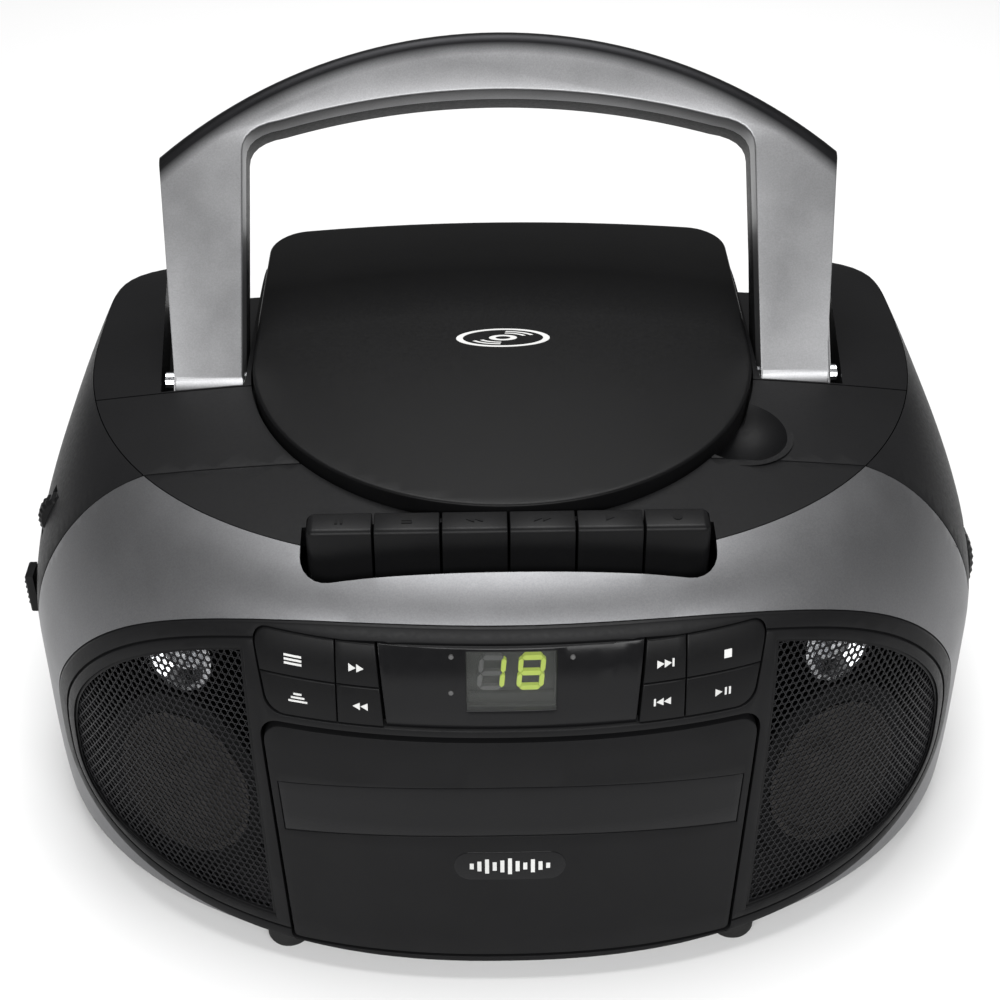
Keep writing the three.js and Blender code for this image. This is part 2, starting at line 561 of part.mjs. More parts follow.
// ---------------------------------------------------------------- disc player
function discPlayer() {
  const lid = column(lidOutline(0), LID.skirtZ, 170, 8);
  const cavity = column(lidOutline(-LID.thick), 90, 180, 8);
  const shellLid = lid.intersect(lidSlab(0, 40)).subtract(cavity.intersect(lidSlab(LID.thick, 60)));
  const knuckle = solid(moved(bar('x', LID_HINGE.radius, -LID_HINGE.length / 2, LID_HINGE.length / 2, 16),
    0, LID_HINGE.y, LID_HINGE.z));
  piece('disc_lid', shellLid.add(knuckle.intersect(lid.intersect(lidSlab(0.5, 40)))), FINISH.black);

  const wellRadius = DISC.radius + DISC.play;
  const { floorZ, wall, flangeZ, flangeThick, rim } = DISC;
  const flange = column(lidOutline(-rim), flangeZ, flangeZ + flangeThick, 8);
  const centreY = LID.middleY;
  const round = (radius, z0, z1, sides = 32) => solid(moved(bar('z', radius, z0, z1, sides), 0, centreY, 0));
  const well = flange.add(round(wellRadius + wall, floorZ - wall, flangeZ + flangeThick))
    .subtract(round(wellRadius, floorZ, flangeZ + 20))
    .subtract(round(HUB.bore, floorZ - 10, floorZ + 5, 20))
    .subtract(box(-SLED.width / 2 - 1, SLED.width / 2 + 1, centreY - SLED.start - SLED.travel - SLED.length / 2 - 1,
      centreY - HUB.bore + 2, floorZ - 10, floorZ + 5));
  piece('disc_well', well, FINISH.deck);

  const hub = turned([[0, floorZ - 6], [HUB.post, floorZ - 6], [HUB.post, floorZ], [HUB.flange, floorZ],
    [HUB.flange, floorZ + 1.5], [HUB.cone, floorZ + 1.5], [HUB.cone - 0.4, floorZ + 4], [4, floorZ + 6],
    [0, floorZ + 6]], 20);
  piece('disc_hub', hub, FINISH.black).position.y = centreY;

  const block = new THREE.BoxGeometry(SLED.width, SLED.length, SLED.height);
  const lens = new THREE.CylinderGeometry(3.4, 3.8, 2, 20).rotateX(Math.PI / 2).translate(0, 0, SLED.height / 2 + 0.8);
  const sled = piece('laser_sled', solid(block).add(solid(lens)), FINISH.steel);
  sled.position.set(0, centreY - SLED.start, floorZ - SLED.height / 2);
}

// ---------------------------------------------------------------- carry handle
function handle() {
  const { legOuter, legInner, shoulderX, shoulder, top, gripTop, gripSide, gripHalf, thick } = HANDLE;
  const arcThrough = (half, low, high) => {
    const rise = high - low;
    const radius = (half ** 2 + rise ** 2) / (2 * rise);
    return { radius, centre: high - radius, spread: Math.asin(half / radius) };
  };
  const crown = arcThrough(shoulderX, shoulder, top);
  const grip = arcThrough(gripHalf, gripSide, gripTop);
  const shape = new THREE.Shape();
  shape.moveTo(-legOuter, 0);
  shape.lineTo(-legInner, 0);
  shape.lineTo(-legInner, gripSide - 10);
  shape.quadraticCurveTo(-legInner, gripSide - 2, -gripHalf, gripSide);
  shape.absarc(0, grip.centre, grip.radius, Math.PI / 2 + grip.spread, Math.PI / 2 - grip.spread, true);
  shape.quadraticCurveTo(legInner, gripSide - 2, legInner, gripSide - 10);
  shape.lineTo(legInner, 0);
  shape.lineTo(legOuter, 0);
  shape.lineTo(shoulderX, shoulder);
  shape.absarc(0, crown.centre, crown.radius, Math.PI / 2 - crown.spread, Math.PI / 2 + crown.spread, false);
  const bow = new THREE.ExtrudeGeometry(shape, { depth: thick, bevelEnabled: false, curveSegments: 14 });
  let whole = solid(bow.rotateX(Math.PI / 2).translate(0, thick / 2, 0));
  for (const side of [-1, 1]) {
    const [low, high] = side < 0 ? [-legOuter, -legInner] : [legInner, legOuter];
    whole = whole.add(solid(bar('x', thick / 2, low, high, 24)));
  }
  whole = whole.subtract(solid(bar('x', HANDLE.pin + GAP, -120, 120, 16)));
  const swing = new THREE.Group();
  swing.position.set(0, HANDLE.pivotY, HANDLE.pivotZ);
  swing.rotation.x = -THREE.MathUtils.degToRad(HANDLE.lean);
  model.add(swing);
  piece('handle_front', whole.intersect(box(-200, 200, -50, -GAP / 2, -50, 200)), FINISH.silver, swing);
  piece('handle_back', whole.intersect(box(-200, 200, GAP / 2, 50, -50, 200)), FINISH.black, swing);
  const pinLength = [SLOT.inner + GAP, SLOT.outer - GAP];
  piece('left_handle_pin', bar('x', HANDLE.pin, -pinLength[1], -pinLength[0], 16), FINISH.steel, swing);
  piece('right_handle_pin', bar('x', HANDLE.pin, pinLength[0], pinLength[1], 16), FINISH.steel, swing);
}

// ---------------------------------------------------------------- side controls
function edgeX(y, z) {
  const s = section(z);
  const forward = y < s.middle;
  const power = forward ? s.frontPower : s.rearPower;
  const reach = forward ? s.middle - s.front : s.back - s.middle;
  return s.half * (1 - Math.min(1, Math.abs(y - s.middle) / reach) ** power) ** (1 / power);
}

function sideControls() {
  const ridged = (radius, thick, bore, ridges) => {
    const shape = new THREE.Shape();
    for (let i = 0; i < 2 * ridges; i += 1) {
      const angle = (i / (2 * ridges)) * 2 * Math.PI;
      const r = i % 2 ? radius : radius - 0.5;
      if (i === 0) shape.moveTo(r, 0);
      else shape.lineTo(r * Math.cos(angle), r * Math.sin(angle));
    }
    const hole = new THREE.Path();
    hole.absarc(0, 0, bore, 0, 2 * Math.PI, true);
    shape.holes.push(hole);
    return new THREE.ExtrudeGeometry(shape, { depth: thick, bevelEnabled: false, curveSegments: 6 })
      .rotateX(Math.PI / 2).translate(0, thick / 2, 0);
  };
  const volume = piece('volume_wheel', ridged(WHEEL.radius, WHEEL.thick, WHEEL.bore, 20), FINISH.rubber);
  volume.position.set(-(edgeX(WHEEL.y, WHEEL.z) + WHEEL.proud - WHEEL.radius), WHEEL.y, WHEEL.z);
  const tuning = piece('tuning_dial', ridged(DIAL.radius, DIAL.thick, DIAL.bore, 32), FINISH.rubber);
  tuning.position.set(edgeX(DIAL.y, DIAL.z) + DIAL.proud - DIAL.radius, DIAL.y, DIAL.z);

  const knob = (side, y, z) => {
    const { width, tall, proud, stem } = SLIDER;
    const corners = [-1, 0, 1].flatMap((v) => [-1, 0, 1].map((w) => edgeX(y + v * width / 2, z + w * tall / 2)));
    const face = Math.max(...corners);
    const cap = box(face + GAP, face + proud, y - width / 2, y + width / 2, z - tall / 2, z + tall / 2);
    const grip = box(face - WALL - 4, face + 1, y - stem / 2, y + stem / 2, z - SLIDER.slot / 2, z + SLIDER.slot / 2);
    const whole = cap.add(grip);
    return side < 0 ? whole.mirror([1, 0, 0]) : whole;
  };
  piece('function_switch', knob(-1, SLIDER.y, SLIDER.z), FINISH.rubber);
  piece('band_switch', knob(1, BAND_SWITCH.y, BAND_SWITCH.z), FINISH.rubber);
}

// ---------------------------------------------------------------- base and back
function feet() {
  const { radius } = FOOT;
  const profile = [[0, 0], [radius - 0.8, 0], [radius, 0.8], [radius, FOOT_HEIGHT - GAP], [0, FOOT_HEIGHT - GAP]];
  const places = [['front_left', -FOOT.frontX, FOOT.frontY], ['front_right', FOOT.frontX, FOOT.frontY],
    ['rear_left', -FOOT.rearX, FOOT.rearY], ['rear_right', FOOT.rearX, FOOT.rearY]];
  for (const [where, x, y] of places) {
    const foot = piece(`${where}_foot`, turned(profile, 14), FINISH.rubber);
    foot.position.set(x, y, 0);
  }
}

function inletShape(grow) {
  const { x, z, width, tall, depth } = INLET;
  const w = width / 2 + grow;
  const h = tall / 2 + grow;
  return box(x - w, x + w, edgeRear(x, z) - depth - grow, edgeRear(x, z) + 1 + 30 * grow, z - h, z + h);
}

function edgeRear(x, z) {
  const s = section(z);
  return s.middle + (s.back - s.middle) * (1 - (Math.abs(x) / s.half) ** s.rearPower) ** (1 / s.rearPower);
}

function jackShape(grow) {
  const { x, z, radius, depth } = JACK;
  const face = edgeRear(x, z);
  return solid(moved(bar('y', radius + grow, face - depth - grow, face + 1 + 30 * grow, 20), x, 0, z));
}

// the swivel's barrel, or the hole it turns in, about an axis that tips back from level
function antennaBarrel(grow) {
  const { barrel, inward, outward } = ANTENNA;
  return bar('y', barrel + grow, -inward - 20 * grow, outward + 20 * grow, 20);
}

function antennaSeat() {
  const hole = antennaBarrel(GAP).rotateX(-THREE.MathUtils.degToRad(ANTENNA.tilt));
  return solid(moved(hole, ANTENNA.x, REAR_Y + GAP + ANTENNA.radius, ANTENNA.z));
}

function backPieces() {
  const { halfWidth, low, high, depth, wall, thick } = BATTERY;
  const rearFace = outer.intersect(box(-halfWidth, halfWidth, 80, 130, low, high))
    .subtract(pebble(thick));
  piece('battery_door', rearFace, FINISH.black);
  const inner = REAR_Y - REAR_TUCK - WALL - 3;
  const tray = box(-halfWidth - wall, halfWidth + wall, inner - depth - wall, inner - 1.5, low - wall, high + wall)
    .subtract(box(-halfWidth, halfWidth, inner - depth, inner + 5, low, high));
  piece('battery_tray', tray.intersect(pebble(WALL + GAP, INNER_RINGS)), FINISH.black);

  const face = edgeRear(INLET.x, INLET.z);
  const { width, tall, rim, sunk } = INLET;
  const socket = inletShape(0)
    .subtract(box(INLET.x - width / 2 + rim, INLET.x + width / 2 - rim, face - sunk, face + 5,
      INLET.z - tall / 2 + rim, INLET.z + tall / 2 - rim));
  piece('mains_inlet', socket, FINISH.black);
  const bore = solid(moved(bar('y', JACK.bore, edgeRear(JACK.x, JACK.z) - JACK.depth + 2, 140, 14), JACK.x, 0, JACK.z));
  piece('headphone_jack', jackShape(0).subtract(bore), FINISH.steel);

  antenna();
}

function antenna() {
  const { x, z, tilt, barrel, radius, bore, rod, length, rodLength, knob } = ANTENNA;
  const pivot = new THREE.Group();
  pivot.position.set(x, REAR_Y + GAP + radius, z);
  pivot.rotation.x = -THREE.MathUtils.degToRad(tilt);
  model.add(pivot);
  const along = (profile, sides) => turned(profile, sides).rotateY(-Math.PI / 2);
  const entry = barrel - 3;
  const socket = solid(bar('x', radius + GAP, -20, -entry, 12));
  piece('antenna_swivel', solid(antennaBarrel(0)).subtract(socket), FINISH.steel, pivot);
  const tube = along([[0, 0], [radius, 0], [radius, length], [bore, length],
    [bore, length - rodLength - 1], [0, length - rodLength - 1]], 14);
  piece('antenna_mast', tube, FINISH.steel, pivot).position.x = -entry - GAP;
  const tip = along([[0, length - rodLength], [rod, length - rodLength], [rod, length + GAP],
    [radius, length + GAP], [radius, length + knob - 1], [radius - 0.8, length + knob],
    [0, length + knob]], 12);
  piece('antenna_tip', tip, FINISH.steel, pivot).position.x = -entry - GAP;
}

// ---------------------------------------------------------------- inside
function speakers() {
  for (const [side, word] of [[-1, 'left'], [1, 'right']]) {
    const mount = (x, z, behind) => {
      const group = new THREE.Group();
      group.position.set(side * x, skin(x, z) + behind, z);
      group.rotation.order = 'ZXY';
      group.rotation.z = side * Math.atan((skin(x + 5, z) - skin(x - 5, z)) / 10);
      group.rotation.x = Math.PI / 2 - lean;
      model.add(group);
      return group;
    };
    const { radius, depth, magnet, cone } = SPEAKER;
    const low = mount(SPEAKER.x, SPEAKER.z, SPEAKER.behind);
    const basket = turned([[0, -depth], [magnet, -depth], [magnet, -depth + 9], [radius - 4, -2], [radius, -2],
      [radius, 0], [cone + 2, 0], [cone + 1, -3], [8, -12], [0, -12]], 20);
    piece(`${word}_speaker_basket`, basket, FINISH.black, low);
    const paper = turned([[0, -11.6], [7.4, -11.6], [cone, -2.6], [cone + 1.6, 0.2], [cone - 0.4, 0.2],
      [cone - 2, -2.2], [8, -9.2], [5, -6], [0, -5.2]], 20);
    piece(`${word}_speaker_cone`, paper, FINISH.cone, low);
    const high = mount(TWEETER.x, TWEETER.z, TWEETER.behind);
    const t = TWEETER;
    const horn = turned([[0, -t.depth], [t.radius - 3, -t.depth], [t.radius - 3, -2], [t.radius, -2], [t.radius, 0],
      [t.radius - 2, 0.8], [t.dome + 1, -2.5], [t.dome, -2.5], [t.dome - 2, 0.8], [0, 1.8]], 18);
    piece(`${word}_tweeter`, horn, FINISH.steel, high);
  }
}

function tapeMechanism() {
  const deck = new THREE.Group();
  deck.position.set(0, planeY(TAPE.reelZ) + TAPE.reach, TAPE.reelZ);
  deck.rotation.x = -lean;
  model.add(deck);
  const { halfWidth, low, high, thick, reelSpan } = TAPE;
  const half = reelSpan / 2;
  const hole = (x, z, r) => solid(moved(bar('y', r, -10, 20, 20), x, 0, z));
  const plate = box(-halfWidth, halfWidth, 0, thick, low - TAPE.reelZ, high - TAPE.reelZ)
    .subtract(hole(-half, 0, 5.5)).subtract(hole(half, 0, 5.5)).subtract(hole(18, -22, 2));
  piece('tape_chassis', plate, FINISH.steel, deck);
  const reel = turned([[0, -9], [1.8, -9], [3.2, -7], [3.2, -1], [5, -1], [5, 4], [9, 4], [9, 6], [0, 6]], 12)
    .rotateX(-Math.PI / 2);
  piece('supply_spindle', reel.clone(), FINISH.black, deck).position.x = -half;
  piece('take_up_spindle', reel, FINISH.black, deck).position.x = half;
  const capstan = turned([[0, -10], [1, -10], [1, 5], [13, 5], [13, 8], [0, 8]], 16).rotateX(-Math.PI / 2);
  piece('capstan', capstan, FINISH.steel, deck).position.set(18, 0, -22);
}

function electronics() {
  const { halfWidth, low, high, y, thick } = BOARD;
  let board = box(-halfWidth, halfWidth, y, y + thick, low, high);
  for (const [x, z, w, h, d] of [[-60, 92, 30, 18, 12], [-10, 94, 18, 18, 5], [30, 90, 12, 12, 16], [62, 94, 24, 20, 9]]) {
    board = board.add(box(x - w / 2, x + w / 2, y - d, y + 0.5, z - h / 2, z + h / 2));
  }
  piece('main_board', board, FINISH.board);
}

cabinets();
deckPanels();
frontPieces();
cassetteDoor();
cassetteKeys();
discPlayer();
handle();
sideControls();
feet();
backPieces();
speakers();
tapeMechanism();
electronics();

export default model;
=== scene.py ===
# The visual model of a portable disc, cassette and radio player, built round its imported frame.
# Shapes are worked out in millimetres and written to their meshes in metres.
import json
import math

import bmesh
import bpy
from mathutils import Matrix, Vector


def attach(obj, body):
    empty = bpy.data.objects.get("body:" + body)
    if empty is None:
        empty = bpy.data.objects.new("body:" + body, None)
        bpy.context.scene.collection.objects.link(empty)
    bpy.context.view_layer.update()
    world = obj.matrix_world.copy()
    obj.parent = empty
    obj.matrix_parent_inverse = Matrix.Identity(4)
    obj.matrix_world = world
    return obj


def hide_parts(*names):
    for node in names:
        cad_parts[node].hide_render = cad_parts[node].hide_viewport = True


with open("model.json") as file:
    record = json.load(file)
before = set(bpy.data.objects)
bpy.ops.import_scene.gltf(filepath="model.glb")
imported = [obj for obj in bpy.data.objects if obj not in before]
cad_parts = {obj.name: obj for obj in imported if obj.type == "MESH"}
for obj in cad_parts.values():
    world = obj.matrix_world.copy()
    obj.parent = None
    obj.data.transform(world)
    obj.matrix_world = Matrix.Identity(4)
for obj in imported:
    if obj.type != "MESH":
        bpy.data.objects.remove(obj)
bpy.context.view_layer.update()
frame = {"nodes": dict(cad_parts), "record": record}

MM = 0.001
GAP = 0.3
PLAY = 0.8
FOOT_HEIGHT = 6
WIDEST_Z = 66
CREASE_Z = 128
FRONT_Y = -114
REAR_Y = 113
HALF_CABINET = 157.5
HALF_CREASE = 139
CREASE_FRONT_Y = -68
DECK_CROWN = 9
PART_Y = -22
DECK_SEAM_Y = 20
WALL = 3
LEAN = math.radians(12)


# ------------------------------------------------------------------ the body's surface
def plane_y(z):
    return FRONT_Y + (z - FOOT_HEIGHT) * math.tan(LEAN)


def section(z):
    """Half width, front, back, middle line and the two powers of the level section at z."""
    up = max(0, (z - WIDEST_Z) / (CREASE_Z - WIDEST_Z))
    down = max(0, (WIDEST_Z - z) / (WIDEST_Z - FOOT_HEIGHT))
    if z < WIDEST_Z:
        half = HALF_CABINET * (1 - ((WIDEST_Z - z) / 95) ** 6) ** (1 / 6)
    else:
        half = HALF_CABINET - (HALF_CABINET - HALF_CREASE) * up ** 2
    front = plane_y(z) + (CREASE_FRONT_Y - plane_y(CREASE_Z)) * up ** 8
    return half, front, REAR_Y - 4 * down ** 3, 5 + 55 * up ** 2, 2.2, 2.8 + 3.2 * up ** 2


def on_section(z, angle, scale=1.0, inset=0.0):
    """The point where a ray from the section's middle meets it."""
    half, front, back, middle, front_power, rear_power = section(z)
    c, s = math.cos(angle), math.sin(angle)
    power = front_power if s < 0 else rear_power
    a = half - inset
    b = (middle - front if s < 0 else back - middle) - inset
    reach = (abs(c / a) ** power + abs(s / b) ** power) ** (-1 / power)
    return scale * reach * c, middle + scale * reach * s


def skin(x, z):
    """The front face's y at (x, z)."""
    half, front, _, middle, power, _ = section(z)
    across = min(1, abs(x) / half)
    return middle + (front - middle) * (1 - across ** power) ** (1 / power)


def rear_skin(x, z):
    half, _, back, middle, _, power = section(z)
    return middle + (back - middle) * (1 - (abs(x) / half) ** power) ** (1 / power)


def side_skin(y, z):
    half, front, back, middle, front_power, rear_power = section(z)
    forward = y < middle
    power = front_power if forward else rear_power
    reach = middle - front if forward else back - middle
    return half * (1 - min(1, abs(y - middle) / reach) ** power) ** (1 / power)


LID_RADIUS, LID_Y, LID_REAR = 82.5, 32, 110


def lid_top(x, y):
    front = LID_Y - LID_RADIUS
    along = min(1, max(0, (y - front) / (LID_REAR - front)))
    return 136 + 9 * math.sin(along * math.pi / 2) - 4 * min(1, abs(x) / LID_RADIUS) ** 2


# ------------------------------------------------------------------ making and cutting
def spare(bm, name="form"):
    """A working object from a bmesh, which is used up."""
    bmesh.ops.recalc_face_normals(bm, faces=bm.faces)
    mesh = bpy.data.meshes.new(name)
    bm.to_mesh(mesh)
    bm.free()
    thing = bpy.data.objects.new(name, mesh)
    bpy.context.scene.collection.objects.link(thing)
    return thing


def combined(first, second, how="DIFFERENCE"):
    """first with second taken away, joined on, or kept only where both are; second is used up."""
    cut = first.modifiers.new("cut", "BOOLEAN")
    cut.operation = how
    cut.solver = "MANIFOLD"
    cut.object = second
    mesh = bpy.data.meshes.new_from_object(first.evaluated_get(bpy.context.evaluated_depsgraph_get()))
    first.modifiers.clear()
    first.data = mesh
    bpy.data.objects.remove(second)
    return first


def without(first, *cutters):
    for cutter in cutters:
        combined(first, cutter)
    return first


def copied(thing):
    twin = bpy.data.objects.new(thing.name, thing.data.copy())
    bpy.context.scene.collection.objects.link(twin)
    return twin


def back_to_bmesh(thing):
    bm = bmesh.new()
    bm.from_mesh(thing.data)
    bpy.data.objects.remove(thing)
    return bm


def rounded(corners, segments=6):
    """A flat face in X and Y with each (x, y, radius) corner rounded."""
    bm = bmesh.new()
    vertices = [bm.verts.new((x, y, 0)) for x, y, *_ in corners]
    bm.faces.new(vertices)
    for vertex, (_, _, *radius) in zip(vertices, corners):
        if radius and radius[0]:
            # a vertex bevel is measured along the edges, and a square corner's arc fits it
            bmesh.ops.bevel(bm, geom=[vertex], offset=radius[0], affect="VERTICES", segments=segments,
                            profile=0.5, material=-1)
    return bm


def ring_face(point, count):
    """A flat face in X and Y through point(angle) at even angles."""
    bm = bmesh.new()
    bmesh.ops.create_circle(bm, cap_ends=True, segments=count, radius=1)
    for vertex in bm.verts:
        vertex.co.xy = point(math.atan2(vertex.co.y, vertex.co.x))
    return bm


def raised(bm, low, high):
    """The flat face as a solid between two heights."""
    bmesh.ops.translate(bm, verts=bm.verts, vec=(0, 0, low))
    out = bmesh.ops.extrude_face_region(bm, geom=bm.faces[:])
    up = [e for e in out["geom"] if isinstance(e, bmesh.types.BMVert)]
    bmesh.ops.translate(bm, verts=up, vec=(0, 0, high - low))
    bmesh.ops.recalc_face_normals(bm, faces=bm.faces)
    return bm


def turned_forward(bm):
    """Turns a solid that stands up in Z so that it runs back along Y, its X and Z across the front."""
    swap = Matrix(((1, 0, 0, 0), (0, 0, 1, 0), (0, 1, 0, 0), (0, 0, 0, 1)))
    bmesh.ops.transform(bm, verts=bm.verts, matrix=swap)
    bmesh.ops.recalc_face_normals(bm, faces=bm.faces)
    return bm


def column(bm, low, high):
    return spare(raised(bm, low, high))


def through(bm, near=-140, far=-20):
    return spare(turned_forward(raised(bm, near, far)))


def block(x0, x1, y0, y1, z0, z1):
    bm = bmesh.new()
    bmesh.ops.create_cube(bm, size=1)
    bmesh.ops.scale(bm, verts=bm.verts, vec=(x1 - x0, y1 - y0, z1 - z0))
    bmesh.ops.translate(bm, verts=bm.verts, vec=((x0 + x1) / 2, (y0 + y1) / 2, (z0 + z1) / 2))
    return bm


def shifted(bm, x=0, y=0, z=0):
    bmesh.ops.translate(bm, verts=bm.verts, vec=(x, y, z))
    return bm


def spun(profile, steps=64):
    """A piece turned about Z from (radius, z) pairs."""
    bm = bmesh.new()
    vertices = [bm.verts.new((r, 0, z)) for r, z in profile]
    edges = [bm.edges.new(pair) for pair in zip(vertices, vertices[1:])]
    bmesh.ops.spin(bm, geom=vertices + edges, cent=(0, 0, 0), axis=(0, 0, 1), angle=2 * math.pi,
                   steps=steps, use_merge=True)
    bmesh.ops.remove_doubles(bm, verts=bm.verts, dist=1e-4)
    bmesh.ops.recalc_face_normals(bm, faces=bm.faces)
    return bm


def soften(bm, width, chosen=None, segments=2, angle=35):
    """Rounds the sharp edges, or those of them that are chosen."""
    limit = math.radians(angle)
    edges = [e for e in bm.edges if len(e.link_faces) == 2 and e.calc_face_angle() > limit
             and (chosen is None or chosen(e))]
    bmesh.ops.bevel(bm, geom=edges, offset=width, affect="EDGES", segments=segments, profile=0.5,
                    material=-1)
    return bm


def sliced(bm, axis, places):
    """Adds edges where planes square to an axis cross, so that a plate can follow a curve."""
    normal = Vector((0, 0, 0))
    normal[axis] = 1
    for place in places:
        everything = bm.verts[:] + bm.edges[:] + bm.faces[:]
        bmesh.ops.bisect_plane(bm, geom=everything, dist=1e-4, plane_co=normal * place, plane_no=normal)
    return bm


def in_front(edge):
    """Whether an edge of a flat plate lies on its front face."""
    return any(face.normal.y < -0.9 for face in edge.link_faces)


def on_skin(bm, step=4.0):
    """Bends a flat plate, whose y is its depth, to the front face."""
    xs = [v.co.x for v in bm.verts]
    zs = [v.co.z for v in bm.verts]
    reach = 150
    count = int(reach * math.pi / 2 / step)
    across = [reach * math.sin(i / count * math.pi / 2) for i in range(-count, count + 1)]
    sliced(bm, 0, [x for x in across if min(xs) < x < max(xs)])
    up = int((max(zs) - min(zs)) / (2 * step)) + 1
    sliced(bm, 2, [min(zs) + (max(zs) - min(zs)) * i / up for i in range(1, up)])
    for vertex in bm.verts:
        vertex.co.y += skin(vertex.co.x, vertex.co.z)
    return bm


def mirrored_copy(bm):
    twin = bm.copy()
    bmesh.ops.scale(twin, verts=twin.verts, vec=(-1, 1, 1))
    bmesh.ops.reverse_faces(twin, faces=twin.faces)
    return twin


def added(bm, *others):
    """Others' faces put into bm, as separate bodies."""
    for other in others:
        mesh = bpy.data.meshes.new("part")
        other.to_mesh(mesh)
        other.free()
        bm.from_mesh(mesh)
        bpy.data.meshes.remove(mesh)
    return bm


def piece(name, bm, material, body, slot, stands_for=(), sharp=32):
    """The finished piece, in metres, on its body."""
    if isinstance(bm, bpy.types.Object):
        bm = back_to_bmesh(bm)
    bmesh.ops.scale(bm, verts=bm.verts, vec=(MM, MM, MM))
    mesh = bpy.data.meshes.new(name)
    bm.to_mesh(mesh)
    bm.free()
    mesh.materials.clear()
    mesh.materials.append(material)
    mesh.shade_smooth()
    mesh.set_sharp_from_angle(angle=math.radians(sharp))
    for polygon in mesh.polygons:
        polygon.material_index = 0
    thing = bpy.data.objects.new(name, mesh)
    bpy.context.scene.collection.objects.link(thing)
    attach(thing, body)
    if stands_for:
        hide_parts(*stands_for)
    return thing


# ------------------------------------------------------------------ materials
class Finish:
    """A node material with a grain on Object coordinates."""

    def __init__(self, name, colour, roughness, metallic=0.0):
        self.material = bpy.data.materials.new(name)
        self.material.use_nodes = True
        self.tree = self.material.node_tree
        self.shader = self.tree.nodes["Principled BSDF"]
        self.shader.inputs["Base Color"].default_value = (*colour, 1)
        self.shader.inputs["Roughness"].default_value = roughness
        self.shader.inputs["Metallic"].default_value = metallic
        self.colour = colour
        self.roughness = roughness
        self.place = self.tree.nodes.new("ShaderNodeTexCoord").outputs["Object"]

    def noise(self, scale, detail=3.0, roughness=0.55):
        node = self.tree.nodes.new("ShaderNodeTexNoise")
        node.inputs["Scale"].default_value = scale
        node.inputs["Detail"].default_value = detail
        node.inputs["Roughness"].default_value = roughness
        self.tree.links.new(self.place, node.inputs["Vector"])
        return node.outputs["Fac"]

    def spread(self, value, low, high, from_low=0.3, from_high=0.7):
        node = self.tree.nodes.new("ShaderNodeMapRange")
        node.inputs["From Min"].default_value = from_low
        node.inputs["From Max"].default_value = from_high
        node.inputs["To Min"].default_value = low
        node.inputs["To Max"].default_value = high
        self.tree.links.new(value, node.inputs["Value"])
        return node.outputs["Result"]

    def tint(self, value, dark, light):
        """Colour from dark to light times the finish's own colour."""
        ramp = self.tree.nodes.new("ShaderNodeValToRGB")
        ramp.color_ramp.elements[0].position = 0.35
        ramp.color_ramp.elements[0].color = (*[c * dark for c in self.colour], 1)
        ramp.color_ramp.elements[1].position = 0.65
        ramp.color_ramp.elements[1].color = (*[c * light for c in self.colour], 1)
        self.tree.links.new(value, ramp.inputs["Fac"])
        self.tree.links.new(ramp.outputs["Color"], self.shader.inputs["Base Color"])
        return self

    def rough(self, value, change):
        out = self.spread(value, self.roughness - change, self.roughness + change)
        self.tree.links.new(out, self.shader.inputs["Roughness"])
        return self

    def bump(self, value, depth, strength=1.0):
        node = self.tree.nodes.new("ShaderNodeBump")
        node.inputs["Distance"].default_value = depth
        node.inputs["Strength"].default_value = strength
        self.tree.links.new(value, node.inputs["Height"])
        self.tree.links.new(node.outputs["Normal"], self.shader.inputs["Normal"])
        return self

    def set(self, **values):
        for name, value in values.items():
            self.shader.inputs[name.replace("_", " ")].default_value = value
        return self


def metallic_paint():
    finish = Finish("satin metallic charcoal", (0.17, 0.171, 0.176), 0.46, 0.9)
    flakes = finish.noise(1900, 2.0, 0.7)
    finish.tint(flakes, 0.93, 1.08).rough(finish.noise(60, 3), 0.03)
    finish.bump(finish.noise(2600, 2), 0.00002, 0.5)
    return finish.material


def handle_paint_with_painted_shade():
    """The metallic paint with painted shade: it turns near-black along the crown's rounded outer edge,
    standing in for the shade on that rounding.
    """
    finish = Finish("satin metallic charcoal handle with painted edge shade", (0.235, 0.236, 0.241), 0.40, 0.9)
    new, link = finish.tree.nodes.new, finish.tree.links.new
    place = new("ShaderNodeMapping")
    place.vector_type = "TEXTURE"
    place.inputs["Location"].default_value = (0, 0.0315, 0.1275)
    place.inputs["Rotation"].default_value = (-math.radians(42), 0, 0)
    link(finish.place, place.inputs["Vector"])
    flat = new("ShaderNodeVectorMath")
    flat.operation = "MULTIPLY"
    flat.inputs[1].default_value = (1, 0, 1)
    link(place.outputs["Vector"], flat.inputs[0])
    rise, half = 0.042, 0.1135
    radius = (half ** 2 + rise ** 2) / (2 * rise)
    reach = new("ShaderNodeVectorMath")
    reach.operation = "DISTANCE"
    reach.inputs[1].default_value = (0, 0, 0.117 - radius)
    link(flat.outputs["Vector"], reach.inputs[0])
    # painted shade mask: 0 at 8.5 mm inside the crown's outer arc, rising to 1 at 4.5 mm inside it and
    # staying 1 out to the edge
    edge = finish.spread(reach.outputs["Value"], 0, 1, radius - 0.0085, radius - 0.0045)
    flakes = finish.noise(1900, 2.0, 0.7)
    finish.tint(flakes, 0.93, 1.08).rough(finish.noise(60, 3), 0.03)
    lit = finish.shader.inputs["Base Color"].links[0].from_socket
    painted_shade_mix = new("ShaderNodeMix")
    painted_shade_mix.data_type = "RGBA"
    link(edge, painted_shade_mix.inputs["Factor"])
    link(lit, painted_shade_mix.inputs[6])
    # the painted shade's near-black colour, blended over the paint where the mask is 1
    painted_shade_mix.inputs[7].default_value = (0.012, 0.012, 0.013, 1)
    link(painted_shade_mix.outputs[2], finish.shader.inputs["Base Color"])
    return finish.material


